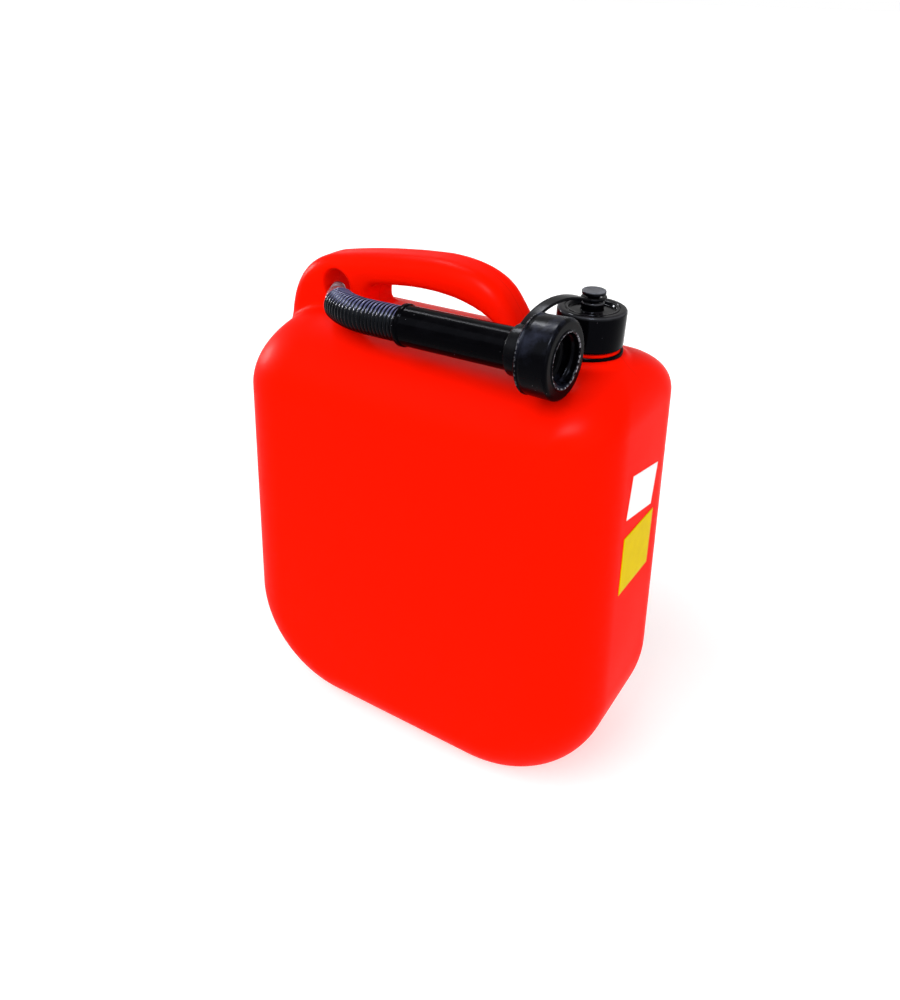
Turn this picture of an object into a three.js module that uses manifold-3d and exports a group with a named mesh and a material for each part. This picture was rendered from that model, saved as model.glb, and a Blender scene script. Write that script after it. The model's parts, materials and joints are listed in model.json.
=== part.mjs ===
// Plastic fuel can with a loop handle, a screw cap on its neck and a bendable pouring spout.
// The spout is stored along the front of the handle, its tip in a round hole through the handle's foot.
// Millimetres, +Z up. The base rests on z = 0, the neck is towards +X and the front broad face is -Y.
import * as THREE from "three";
import { mergeVertices } from "three/addons/utils/BufferGeometryUtils.js";
import Module from "manifold-3d";

const wasm = await Module();
wasm.setup();

// Can shell
const baseLength = 294;
const sideTaper = 11.5;
const canDepth = 148;
const neckEndHeight = 317;
const handleEndFall = 3;
const shellWall = 2.2;
const uprightEdgeRadius = 44;
const topEdgeDrop = 50;
const baseEdgeRise = 42;
const handleEndCornerRadius = 54;
const neckEndCornerRadius = 33;
const baseCornerRadius = 86;
const smallestRadius = 1;

// Loop handle, a fin in the middle of the depth; rises are measured from the neck end of the can's top.
// Each pull is the share of the way along a curve, and up it, at which the curve turns.
const handleThickness = 34;
const handleEdgeRadius = 11;
const handleSideInset = 7.5;
const handleRootDepth = 70;
const handleCornerStart = -22;
const handleCornerRun = 37;
const handleCornerRise = 28;
const handleCrownInset = 127.5;
const handleCrownRise = 39;
const handleFallInset = 96;
const handleFallRise = 24.5;
const handleFootInset = 77;
const handleFootRise = -5;
const cornerPull = { along: 0.12, up: 0.84 };
const crownPull = { along: 0.5, up: 0.8 };
const fallPull = { along: 0.72, up: 0 };
const footPull = { along: 0.5, up: 0.37 };

// Finger window under the handle, inset from the handle end and the neck end of the can's top
const windowHandleInset = 76.5;
const windowNeckInset = 97.5;
const windowCornerRun = 11;
const windowCornerRise = 16.5;
const windowEndRise = 8;
const windowSillDepth = 8;
const windowCornerPull = { along: 0.1, up: 0.9 };
const windowArchPull = { along: 0.67, up: -1.24 };

// Storage hole through the handle's foot
const holeInset = 53.5;
const holeRadius = 10.8;

// Neck and thread
const neckInset = 43.2;
const neckBoreRadius = 10.4;
const neckRootRadius = 12.6;
const neckHeight = 19;
const neckPadDepth = 24;
const collarRadius = 18.8;
const collarHeight = 4.2;
const threadPitch = 5;
const threadDepth = 1.5;
const threadClearance = 0.5;
const threadRootWidth = 2.5;
const threadCrestWidth = 1.4;
const threadRootBite = 0.6;
const neckThreadTurns = 1.6;
const neckThreadStart = 9.5;
const socketThreadTurns = 1;

// Neck ring, cap, seal and stud
const ringHeight = 2.4;
const ringRadius = 20.6;
const ringToCap = 2.4;
const capRadius = 20.2;
const capEdgeChamfer = 1.2;
const capTopWall = 1.7;
const capRecessRadius = 13;
const capRecessDepth = 3.3;
const sealThickness = 2;
const bossRadius = 6.5;
const bossRise = 5;
const studShankRadius = 3.6;
const studShankLength = 9;
const studHeadRadius = 7;
const studHeadHeight = 3;

// Spout: nozzle in the hole, bendable hose, rigid tube, union nut and gasket.
// The nozzle leans from the hole's axis, which it crosses at a depth behind the handle's front face.
// The tube leans out from the can's length, and the strap carries its nut clear of the can's top.
const nozzleTurn = 0.63;
const tubeLean = 0.05;
const nozzleInsertion = 8;
const nozzleCrossingDepth = 2;
const nozzleTipRadius = 4.6;
const nozzleRootRadius = 6.8;
const nozzleBoreRadius = 3.2;
const hoseFaceGap = 1;
const hoseTopGap = 1.2;
const hoseRadius = 10.8;
const hoseBoreRadius = 8.4;
const hoseRidgeDepth = 1.3;
const hoseRidgePitch = 3.2;
const hoseStraightLength = 26;
const bendRadius = 60;
const bendJoints = 6;
const tubeRadius = 12;
const tubeBoreRadius = 9.6;
const tubeLength = 96;
const tubeLipRise = 0.8;
const tubeLipLength = 3;
const flangeThickness = 2.5;
const nutRadius = 22.4;
const nutLength = 20;
const nutRearWall = 5;
const nutEdgeChamfer = 1.2;
const nutTopGap = 4.2;
const gasketThickness = 2;
const gasketBoreRadius = 10.6;

// Tether strap
const strapWidth = 7;
const strapThickness = 1.8;
const strapArchRise = 6.5;
const strapRisingShare = 0.35;
const strapFallingShare = 0.72;
const strapFallingHeight = 0.75;
const strapLandingAngle = Math.PI / 3;
const eyeRadius = 8.5;
const strapRingWidth = 7;
const strapRingWall = 2;
const strapRingSetback = 4;

// Stickers on the narrow neck-end side
const labelThickness = 0.4;
const whiteLabel = { width: 43, height: 28, y: 0, z: 236.5, turn: -0.21 };
const yellowLabel = { width: 48.5, height: 41, y: -1.5, z: 193, turn: -0.045 };

// Fits
const seatGap = 0.3;
const runningGap = 0.4;

// Facets
const roundFacets = 28;
const hoseFacets = 20;
const cornerFacets = 8;
const edgeFacets = 6;
const crownFacets = 3;
const bevelFacets = 4;
const helixFacets = 20;
const stripFacets = 14;
const contactSamples = 60;

// Places worked out from the sizes above
const topLength = baseLength - 2 * sideTaper;
const handleEndHeight = neckEndHeight - handleEndFall;
const halfDepth = canDepth / 2;
const flatHalfDepth = halfDepth - uprightEdgeRadius;
const handleEndX = -topLength / 2;
const neckEndX = topLength / 2;
const handleHalf = handleThickness / 2;
const holeX = handleEndX + holeInset;
const neckX = neckEndX - neckInset;
const neckTop = neckEndHeight + neckHeight;
const neckThreadRadius = neckRootRadius + threadDepth;
const socketRadius = neckThreadRadius + threadClearance;
const ringBase = neckEndHeight + seatGap;
const capBase = ringBase + ringHeight + ringToCap;
const sealBase = neckTop + seatGap;
const capCeiling = sealBase + sealThickness + seatGap;
const capRecessFloor = capCeiling + capTopWall;
const capTop = capRecessFloor + capRecessDepth;
const bossTop = capTop + bossRise;
const eyeBase = bossTop + seatGap;
const studHeadBase = eyeBase + strapThickness + seatGap;

// The spout's route in its own plane: x from the hole's axis towards the neck, y the depth of the can
const tubeTurn = Math.PI / 2 - tubeLean;
const bendStep = (tubeTurn - nozzleTurn) / bendJoints;
const bendEndSetback = hoseRadius * Math.tan(bendStep / 2) + runningGap / 2;
const bendReach = bendRadius * Math.tan(bendStep / 2) - bendEndSetback;
const nozzleHeading = headingAt(nozzleTurn);
const nozzleClear = hoseRadius * Math.tan(nozzleTurn) + hoseFaceGap / Math.cos(nozzleTurn);
const nozzleBefore = (nozzleInsertion - nozzleCrossingDepth) / Math.cos(nozzleTurn);
const nozzleAfter = nozzleCrossingDepth / Math.cos(nozzleTurn) + nozzleClear;
const nozzleCrossing = new THREE.Vector2(0, nozzleCrossingDepth - handleHalf);
const nozzleTip = nozzleCrossing.clone().addScaledVector(nozzleHeading, -nozzleBefore);
const bendStart = nozzleCrossing.clone().addScaledVector(nozzleHeading, nozzleAfter);
const bendCentre = bendStart.clone().addScaledVector(outwardAt(nozzleTurn), -bendRadius);
const bendEnd = bendCentre.clone().addScaledVector(outwardAt(tubeTurn), bendRadius);
const tubeEnd = hoseStraightLength + tubeLength;
const nutRear = tubeEnd - flangeThickness - runningGap - nutRearWall;
const strapRingStart = nutRear - strapRingSetback - strapRingWidth;
const nutRearPlace = bendEnd.clone().addScaledVector(headingAt(tubeTurn), nutRear);
const nozzleZ = heightOfRestingRound(holeX + bendStart.x, bendStart.y, hoseRadius) + hoseTopGap;
const nutAxisZ = heightOfRestingRound(holeX + nutRearPlace.x, nutRearPlace.y, nutRadius) + nutTopGap;
const spoutSlope = Math.asin((nutAxisZ - nozzleZ) / nutRearPlace.x);
const holeZ = nozzleZ + holeRadius - nozzleRootRadius - seatGap;

// Heading of the spout where it has turned so far from the hole's axis, and the way out of its bend there
function headingAt(turn) {
  return new THREE.Vector2(Math.sin(turn), -Math.cos(turn));
}

function outwardAt(turn) {
  return new THREE.Vector2(-Math.cos(turn), -Math.sin(turn));
}

// Closed geometry to solid and back
function solidOf(geometry) {
  const bare = geometry.clone();
  bare.deleteAttribute("normal");
  bare.deleteAttribute("uv");
  const merged = mergeVertices(bare);
  const corners = merged.index.array;
  const kept = [];
  for (let i = 0; i < corners.length; i += 3) {
    const [a, b, c] = corners.slice(i, i + 3);
    if (a !== b && b !== c && c !== a) kept.push(a, b, c);
  }
  const vertProperties = merged.attributes.position.array;
  return new wasm.Manifold(new wasm.Mesh({ numProp: 3, vertProperties, triVerts: Uint32Array.from(kept) }));
}

function geometryOf(manifold) {
  const mesh = manifold.getMesh();
  const geometry = new THREE.BufferGeometry();
  geometry.setAttribute("position", new THREE.BufferAttribute(mesh.vertProperties, 3));
  geometry.setIndex(new THREE.BufferAttribute(mesh.triVerts, 1));
  return geometry;
}

// A profile of [radius, height] corners, turned round Z. It runs up its outside and closes on itself.
function turned(profile, facets = roundFacets) {
  const points = profile.map(([radius, height]) => new THREE.Vector2(radius, height));
  points.push(points[0].clone());
  return new THREE.LatheGeometry(points, facets).rotateX(Math.PI / 2);
}

// A plain ring round Z, standing on z = 0
function flatRing(bore, radius, height) {
  return turned([[bore, 0], [radius, 0], [radius, height], [bore, height]]);
}

// An outline in X and Z, extruded along Y and centred on y = 0
function extrudedAlongDepth(shape, thickness, bevel = {}) {
  const lip = bevel.bevelThickness ?? 0;
  const depth = thickness - 2 * lip;
  const settings = { depth, bevelEnabled: false, curveSegments: cornerFacets, ...bevel };
  const geometry = new THREE.ExtrudeGeometry(shape, settings);
  return geometry.translate(0, 0, -depth / 2).rotateX(Math.PI / 2);
}

// Fall of a round shoulder of unit radius, this share of the way out
function roundFall(share) {
  return 1 - Math.sqrt(Math.max(1 - share * share, 0));
}

// One upright section of the can: a rounded outline in X and Z, narrowed by the edge fillet at this depth
function canSection(depth, inset) {
  const edge = uprightEdgeRadius - inset;
  const edgeFall = roundFall(Math.max(depth - flatHalfDepth, 0) / edge);
  const narrowing = edge * edgeFall;
  const rise = (baseEdgeRise - inset) * edgeFall;
  const drop = (topEdgeDrop - inset) * roundFall(depth / (halfDepth - inset));
  const halfTop = topLength / 2 - inset - narrowing;
  const halfBase = baseLength / 2 - inset - narrowing;
  const low = inset + rise;
  const neckEnd = neckEndHeight - inset - drop;
  const handleEnd = handleEndHeight - inset - drop;
  const baseRadius = Math.max(baseCornerRadius - inset - Math.max(narrowing, rise), smallestRadius);
  const neckRadius = Math.max(neckEndCornerRadius - inset - narrowing, smallestRadius);
  const handleRadius = Math.max(handleEndCornerRadius - inset - narrowing, smallestRadius);
  const corners = [
    [halfBase - baseRadius, low + baseRadius, baseRadius],
    [halfTop - neckRadius, neckEnd - neckRadius, neckRadius],
    [handleRadius - halfTop, handleEnd - handleRadius, handleRadius],
    [baseRadius - halfBase, low + baseRadius, baseRadius],
  ];
  const quarter = Math.PI / 2;
  return corners.flatMap(([x, z, radius], i) => {
    const start = (i - 1) * quarter;
    return new THREE.EllipseCurve(x, z, radius, radius, start, start + quarter).getPoints(cornerFacets);
  });
}

// The can's body: sections from the front face to the back face, joined into one closed skin
function canBody(inset) {
  const edge = uprightEdgeRadius - inset;
  const turns = Array.from({ length: edgeFacets + 1 }, (_, i) => (i / edgeFacets) * (Math.PI / 2));
  const edgeDepths = turns.map((turn) => flatHalfDepth + edge * Math.cos(turn));
  const crownShares = Array.from({ length: crownFacets }, (_, i) => 1 - (i + 1) / crownFacets);
  const depths = [...edgeDepths, ...crownShares.map((share) => share * flatHalfDepth)];
  const front = depths.map((depth) => ({ y: -depth, outline: canSection(depth, inset) }));
  const back = front.slice(0, -1).map(({ y, outline }) => ({ y: -y, outline })).reverse();
  const rings = [...front, ...back];
  const count = rings[0].outline.length;
  const positions = rings.flatMap(({ y, outline }) => outline.flatMap((p) => [p.x, y, p.y]));
  const index = [];
  for (let ring = 0; ring + 1 < rings.length; ring += 1) {
    for (let i = 0; i < count; i += 1) {
      const a = ring * count + i;
      const b = ring * count + ((i + 1) % count);
      index.push(a, b + count, b, a, a + count, b + count);
    }
  }
  const last = (rings.length - 1) * count;
  for (const [a, b, c] of THREE.ShapeUtils.triangulateShape(rings[0].outline, [])) {
    index.push(a, b, c, last + a, last + c, last + b);
  }
  const geometry = new THREE.BufferGeometry();
  geometry.setAttribute("position", new THREE.Float32BufferAttribute(positions, 3));
  geometry.setIndex(index);
  return solidOf(geometry);
}

// Height of the can's top surface
function topHeight(x, y) {
  const edgeReach = Math.max(Math.abs(y) - flatHalfDepth, 0);
  const narrowing = uprightEdgeRadius * roundFall(edgeReach / uprightEdgeRadius);
  const neckRadius = Math.max(neckEndCornerRadius - narrowing, smallestRadius);
  const handleRadius = Math.max(handleEndCornerRadius - narrowing, smallestRadius);
  const neckCorner = neckEndX - neckEndCornerRadius;
  const handleCorner = handleEndX + handleEndCornerRadius;
  const neckFall = neckRadius * roundFall(Math.max(x - neckCorner, 0) / neckRadius);
  const handleFall = handleRadius * roundFall(Math.max(handleCorner - x, 0) / handleRadius);
  const flatX = THREE.MathUtils.clamp(x, handleCorner, neckCorner);
  const level = THREE.MathUtils.mapLinear(flatX, handleCorner, neckCorner, handleEndHeight, neckEndHeight);
  return level - topEdgeDrop * roundFall(y / halfDepth) - neckFall - handleFall;
}

// Axis height of a round lying along X on the can's top
function heightOfRestingRound(x, y, radius) {
  const turns = Array.from({ length: contactSamples + 1 }, (_, i) => (Math.PI * i) / contactSamples);
  const heights = turns.map((turn) => topHeight(x, y + radius * Math.cos(turn)) + radius * Math.sin(turn));
  return Math.max(...heights);
}

// Draws a curve on from the end of a shape, turning at its pull
function curveOn(shape, x, z, pull) {
  const mix = THREE.MathUtils.lerp;
  const { x: startX, y: startZ } = shape.currentPoint;
  shape.quadraticCurveTo(mix(startX, x, pull.along), mix(startZ, z, pull.up), x, z);
}

function handleOutline() {
  const left = handleEndX + handleSideInset;
  const root = neckEndHeight - handleRootDepth;
  const cornerLow = neckEndHeight + handleCornerStart;
  const cornerHigh = neckEndHeight + handleCornerRise;
  const cornerX = left + handleCornerRun;
  const crown = neckEndHeight + handleCrownRise;
  const fall = neckEndHeight + handleFallRise;
  const foot = neckEndHeight + handleFootRise;
  const shape = new THREE.Shape();
  shape.moveTo(left, root);
  shape.lineTo(left, cornerLow);
  curveOn(shape, cornerX, cornerHigh, cornerPull);
  curveOn(shape, handleEndX + handleCrownInset, crown, crownPull);
  curveOn(shape, neckEndX - handleFallInset, fall, fallPull);
  curveOn(shape, neckEndX - handleFootInset, foot, footPull);
  shape.lineTo(neckEndX - handleFootInset, root);
  return shape;
}

// Outline of the finger window, grown by the inset
function windowOutline(inset) {
  const left = handleEndX + windowHandleInset - inset;
  const right = neckEndX - windowNeckInset + inset;
  const low = handleEndHeight - windowSillDepth - inset;
  const corner = neckEndHeight + windowCornerRise + inset;
  const end = neckEndHeight + windowEndRise + inset;
  const shape = new THREE.Shape();
  shape.moveTo(left, low);
  shape.lineTo(left, corner - windowCornerRun);
  curveOn(shape, left + windowCornerRun, corner, windowCornerPull);
  curveOn(shape, right, end, windowArchPull);
  shape.lineTo(right, low);
  return shape;
}

// The handle fin with its window and hole, or the space inside it when drawn inwards by the wall
function handleFin(inset) {
  const bevel = {
    bevelEnabled: true,
    bevelSize: handleEdgeRadius,
    bevelThickness: handleEdgeRadius,
    bevelOffset: -handleEdgeRadius - inset,
    bevelSegments: bevelFacets,
  };
  const fin = solidOf(extrudedAlongDepth(handleOutline(), handleThickness - 2 * inset, bevel));
  const fingerWindow = solidOf(extrudedAlongDepth(windowOutline(inset), 2 * handleThickness));
  const boreRadius = holeRadius + inset;
  const bore = new THREE.CylinderGeometry(boreRadius, boreRadius, 2 * handleThickness, roundFacets);
  const hole = solidOf(bore.translate(holeX, 0, holeZ));
  return fin.subtract(fingerWindow).subtract(hole);
}

// Right-hand helix round Z whose section keeps facing straight out from the axis
class ThreadPath extends THREE.Curve {
  constructor(radius, turns) {
    super();
    this.radius = radius;
    this.turns = turns;
  }

  getPoint(t) {
    const angle = 2 * Math.PI * this.turns * t;
    const height = threadPitch * this.turns * t;
    return new THREE.Vector3(this.radius * Math.cos(angle), this.radius * Math.sin(angle), height);
  }

  computeFrenetFrames(segments) {
    const shares = Array.from({ length: segments + 1 }, (_, i) => i / segments);
    const angles = shares.map((share) => 2 * Math.PI * this.turns * share);
    const tangents = shares.map((share) => this.getTangent(share));
    const normals = angles.map((angle) => new THREE.Vector3(Math.cos(angle), Math.sin(angle), 0));
    const binormals = tangents.map((tangent, i) => tangent.clone().cross(normals[i]));
    return { tangents, normals, binormals };
  }
}

// Thread ridge standing out from the radius, or in from it when the depth is negative
function threadRidge(radius, turns, depth) {
  const bite = -Math.sign(depth) * threadRootBite;
  const section = new THREE.Shape();
  section.moveTo(bite, -threadRootWidth / 2);
  section.lineTo(depth, -threadCrestWidth / 2);
  section.lineTo(depth, threadCrestWidth / 2);
  section.lineTo(bite, threadRootWidth / 2);
  const extrudePath = new ThreadPath(radius, turns);
  const steps = Math.round(helixFacets * turns);
  return new THREE.ExtrudeGeometry(section, { steps, extrudePath, bevelEnabled: false });
}

// A solid round on the neck's axis
function neckRound(radius, low, high) {
  return solidOf(turned([[0, low], [radius, low], [radius, high], [0, high]]).translate(neckX, 0, 0));
}

function canShell() {
  const padLow = neckEndHeight - neckPadDepth;
  const collarTop = neckEndHeight + collarHeight;
  const ridge = threadRidge(neckRootRadius, neckThreadTurns, threadDepth);
  ridge.translate(neckX, 0, neckEndHeight + neckThreadStart);
  const outside = canBody(0)
    .add(handleFin(0))
    .add(neckRound(ringRadius, padLow, neckEndHeight))
    .add(neckRound(collarRadius, padLow, collarTop))
    .add(neckRound(neckRootRadius, padLow, neckTop))
    .add(solidOf(ridge));
  const inside = canBody(shellWall)
    .add(handleFin(shellWall))
    .add(neckRound(ringRadius - shellWall, padLow, neckEndHeight - shellWall))
    .add(neckRound(collarRadius - shellWall, padLow, collarTop - shellWall))
    .add(neckRound(neckBoreRadius, padLow, neckTop + shellWall));
  return geometryOf(outside.subtract(inside));
}

function neckRing() {
  return geometryOf(solidOf(flatRing(collarRadius + seatGap, ringRadius, ringHeight)));
}

// The cap, with its own z = 0 at its lower rim
function screwCap() {
  const ceiling = capCeiling - capBase;
  const floor = capRecessFloor - capBase;
  const top = capTop - capBase;
  const boss = bossTop - capBase;
  const studBore = studShankRadius + seatGap;
  const shell = solidOf(turned([
    [studBore, ceiling],
    [socketRadius, ceiling],
    [socketRadius, 0],
    [capRadius, 0],
    [capRadius, top - capEdgeChamfer],
    [capRadius - capEdgeChamfer, top],
    [capRecessRadius + capEdgeChamfer, top],
    [capRecessRadius, top - capEdgeChamfer],
    [capRecessRadius, floor],
    [bossRadius, floor],
    [bossRadius, boss],
    [studBore, boss],
  ]));
  const ridge = threadRidge(socketRadius, socketThreadTurns, -threadDepth);
  ridge.translate(0, 0, neckEndHeight + neckThreadStart - threadPitch / 2 - capBase);
  return geometryOf(shell.add(solidOf(ridge)));
}

function capSeal() {
  const radius = socketRadius - runningGap;
  return geometryOf(solidOf(turned([[0, 0], [radius, 0], [radius, sealThickness], [0, sealThickness]])));
}

// The stud, with its own z = 0 under its head
function strapStud() {
  return geometryOf(solidOf(turned([
    [0, -studShankLength],
    [studShankRadius, -studShankLength],
    [studShankRadius, 0],
    [studHeadRadius, 0],
    [studHeadRadius, studHeadHeight - capEdgeChamfer],
    [studHeadRadius - capEdgeChamfer, studHeadHeight],
    [0, studHeadHeight],
  ])));
}

// Tube wall with a row of ridges outside, its length along Z and centred on z = 0
function ridgedHose(length) {
  const ridges = Math.max(Math.round(length / hoseRidgePitch), 1);
  const pitch = length / ridges;
  const valley = hoseRadius - hoseRidgeDepth;
  const outside = [[valley, -length / 2]];
  for (let i = 0; i < ridges; i += 1) {
    outside.push([hoseRadius, (i + 0.5) * pitch - length / 2]);
    outside.push([valley, (i + 1) * pitch - length / 2]);
  }
  const wall = [[hoseBoreRadius, -length / 2], ...outside, [hoseBoreRadius, length / 2]];
  return geometryOf(solidOf(turned(wall, hoseFacets)));
}

// The nozzle from its tip at z = 0 to the first hinge of the bend, with the hose's cuff on its root
function spoutNozzle() {
  const root = nozzleBefore + nozzleAfter;
  const length = root + bendReach;
  return geometryOf(solidOf(turned([
    [nozzleBoreRadius, 0],
    [nozzleTipRadius, 0],
    [nozzleRootRadius, root],
    [hoseRadius, root],
    [hoseRadius, length],
    [nozzleBoreRadius, length],
  ])));
}

// The tube from its lip at z = 0 to its flange
function spoutTube() {
  const lip = tubeRadius + tubeLipRise;
  const flange = socketRadius - runningGap;
  return geometryOf(solidOf(turned([
    [tubeBoreRadius, 0],
    [lip, 0],
    [lip, tubeLipLength],
    [tubeRadius, tubeLipLength + tubeLipRise],
    [tubeRadius, tubeLength - flangeThickness],
    [flange, tubeLength - flangeThickness],
    [flange, tubeLength],
    [tubeBoreRadius, tubeLength],
  ])));
}

// The nut from its rear wall at z = 0 to its open mouth
function spoutNut() {
  const tubeHole = tubeRadius + runningGap;
  const shell = solidOf(turned([
    [tubeHole, 0],
    [nutRadius - nutEdgeChamfer, 0],
    [nutRadius, nutEdgeChamfer],
    [nutRadius, nutLength - nutEdgeChamfer],
    [nutRadius - nutEdgeChamfer, nutLength],
    [socketRadius, nutLength],
    [socketRadius, nutRearWall],
    [tubeHole, nutRearWall],
  ]));
  const ridge = threadRidge(socketRadius, socketThreadTurns, -threadDepth);
  ridge.translate(0, 0, nutLength - threadPitch * socketThreadTurns - threadRootWidth / 2);
  return geometryOf(shell.add(solidOf(ridge)));
}

function nutGasket() {
  return geometryOf(solidOf(flatRing(gasketBoreRadius, socketRadius - runningGap, gasketThickness)));
}

// Point beside the tube's axis, in the can's frame
function tubePoint(along, aside, above) {
  const place = bendEnd.clone().addScaledVector(headingAt(tubeTurn), along);
  place.addScaledVector(outwardAt(tubeTurn), -aside);
  const x = holeX + place.x * Math.cos(spoutSlope) - above * Math.sin(spoutSlope);
  const z = nozzleZ + place.x * Math.sin(spoutSlope) + above * Math.cos(spoutSlope);
  return new THREE.Vector3(x, place.y, z);
}

// Arched strip whose flat side keeps facing up
class StripPath extends THREE.CubicBezierCurve3 {
  computeFrenetFrames(segments) {
    const up = new THREE.Vector3(0, 0, 1);
    const shares = Array.from({ length: segments + 1 }, (_, i) => i / segments);
    const tangents = shares.map((share) => this.getTangentAt(share));
    const binormals = tangents.map((tangent) => tangent.clone().cross(up).normalize());
    const normals = tangents.map((tangent, i) => binormals[i].clone().cross(tangent));
    return { tangents, normals, binormals };
  }
}

function tetherStrap() {
  const eyeBore = studShankRadius + runningGap;
  const eyeMiddle = new THREE.Vector3(neckX, 0, eyeBase + strapThickness / 2);
  const eye = flatRing(eyeBore, eyeRadius, strapThickness);
  eye.translate(neckX, 0, eyeBase);
  const ringBore = tubeRadius + runningGap;
  const ringOuter = ringBore + strapRingWall;
  const ring = flatRing(ringBore, ringOuter, strapRingWidth);
  const ringPlace = tubePoint(strapRingStart, 0, 0);
  ring.rotateY(Math.PI / 2).rotateZ(-tubeLean).rotateY(-spoutSlope);
  ring.translate(ringPlace.x, ringPlace.y, ringPlace.z);
  const landing = ringBore + strapRingWall / 2;
  const end = tubePoint(
    strapRingStart + strapRingWidth / 2,
    landing * Math.cos(strapLandingAngle),
    landing * Math.sin(strapLandingAngle),
  );
  const heading = end.clone().sub(eyeMiddle).setZ(0).normalize();
  const start = eyeMiddle.clone().addScaledVector(heading, (eyeRadius + studHeadRadius) / 2);
  const rising = start.clone().lerp(end, strapRisingShare).setZ(start.z + strapArchRise);
  const falling = start.clone().lerp(end, strapFallingShare);
  falling.setZ(start.z + strapFallingHeight * strapArchRise);
  const section = new THREE.Shape();
  section.moveTo(-strapThickness / 2, -strapWidth / 2);
  section.lineTo(strapThickness / 2, -strapWidth / 2);
  section.lineTo(strapThickness / 2, strapWidth / 2);
  section.lineTo(-strapThickness / 2, strapWidth / 2);
  const extrudePath = new StripPath(start, rising, falling, end);
  const band = new THREE.ExtrudeGeometry(section, { steps: stripFacets, extrudePath, bevelEnabled: false });
  return geometryOf(solidOf(eye).add(solidOf(band)).add(solidOf(ring)));
}

// Sticker lying on the flat of the narrow side, which leans in towards the top
function sideLabel({ width, height, y, z, turn }) {
  const low = new THREE.Vector2(baseLength / 2, baseCornerRadius);
  const high = new THREE.Vector2(topLength / 2, neckEndHeight - neckEndCornerRadius);
  const sideX = THREE.MathUtils.mapLinear(z, low.y, high.y, low.x, high.x);
  const place = new THREE.Group();
  place.position.set(sideX, y, z);
  place.rotation.y = -Math.atan2(low.x - high.x, high.y - low.y);
  const sheet = new THREE.Mesh(new THREE.BoxGeometry(labelThickness, width, height));
  sheet.position.x = seatGap + labelThickness / 2;
  sheet.rotation.x = turn;
  place.add(sheet);
  return { place, sheet };
}

const redPlastic = { color: 0xe8130a, roughness: 0.42, metalness: 0 };
const blackPlastic = { color: 0x101114, roughness: 0.38, metalness: 0 };
const hosePlastic = { color: 0x0c0d10, roughness: 0.45, metalness: 0 };
const sealRubber = { color: 0x1b1b1b, roughness: 0.7, metalness: 0 };
const whitePaper = { color: 0xf2f2ee, roughness: 0.6, metalness: 0 };
const yellowFilm = { color: 0xf2c80f, roughness: 0.45, metalness: 0 };

function piece(name, geometry, finish) {
  const mesh = new THREE.Mesh(geometry, new THREE.MeshStandardMaterial(finish));
  mesh.name = name;
  return mesh;
}

const fuelCan = new THREE.Group();
fuelCan.add(piece("can_body", canShell(), redPlastic));
fuelCan.add(piece("tether_strap", tetherStrap(), blackPlastic));

const neckAxis = new THREE.Group();
neckAxis.position.x = neckX;
fuelCan.add(neckAxis);
const onNeck = [
  [piece("neck_ring", neckRing(), blackPlastic), ringBase],
  [piece("screw_cap", screwCap(), blackPlastic), capBase],
  [piece("cap_seal", capSeal(), sealRubber), sealBase],
  [piece("strap_rivet", strapStud(), blackPlastic), studHeadBase],
];
for (const [mesh, height] of onNeck) {
  mesh.position.z = height;
  neckAxis.add(mesh);
}

// The spout's plane, hinged up from level about the hole
const spout = new THREE.Group();
spout.position.set(holeX, 0, nozzleZ);
spout.rotation.y = -spoutSlope;
fuelCan.add(spout);

// Places a piece that is turned round Z on the spout's route, its own +Z along the heading
function onRoute(mesh, place, turn) {
  mesh.geometry.rotateY(Math.PI / 2);
  mesh.position.set(place.x, place.y, 0);
  mesh.rotation.z = turn - Math.PI / 2;
  spout.add(mesh);
}

onRoute(piece("spout_nozzle", spoutNozzle(), hosePlastic), nozzleTip, nozzleTurn);

for (let i = 1; i < bendJoints; i += 1) {
  const turn = nozzleTurn + i * bendStep;
  const place = bendCentre.clone().addScaledVector(outwardAt(turn), bendRadius);
  onRoute(piece(`hose_ring_${i}`, ridgedHose(2 * bendReach), hosePlastic), place, turn);
}

const straightStart = -bendReach;
const straightLength = hoseStraightLength - seatGap - straightStart;
const onTube = [
  [piece("hose_straight", ridgedHose(straightLength), hosePlastic), straightStart + straightLength / 2],
  [piece("spout_tube", spoutTube(), blackPlastic), hoseStraightLength],
  [piece("spout_nut", spoutNut(), blackPlastic), nutRear],
  [piece("nut_gasket", nutGasket(), sealRubber), tubeEnd + seatGap],
];
for (const [mesh, along] of onTube) {
  onRoute(mesh, bendEnd.clone().addScaledVector(headingAt(tubeTurn), along), tubeTurn);
}

for (const [name, label, finish] of [
  ["white_label", whiteLabel, whitePaper],
  ["yellow_label", yellowLabel, yellowFilm],
]) {
  const { place, sheet } = sideLabel(label);
  sheet.name = name;
  sheet.material = new THREE.MeshStandardMaterial(finish);
  fuelCan.add(place);
}

export default fuelCan;
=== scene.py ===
# %% [markdown]
# A blow-moulded plastic fuel can, dressed over its solid model. The solid model gives every place, size
# and joint. This file gives the moulded skin with its soft fillets, the ridged hose, the turned caps and
# nuts, and the finishes. The frame is loaded first, because every later step measures from it.

# %% Load the frame
import json
import math
import bmesh
import bpy
import numpy as np
from mathutils import Matrix, Vector


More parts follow.
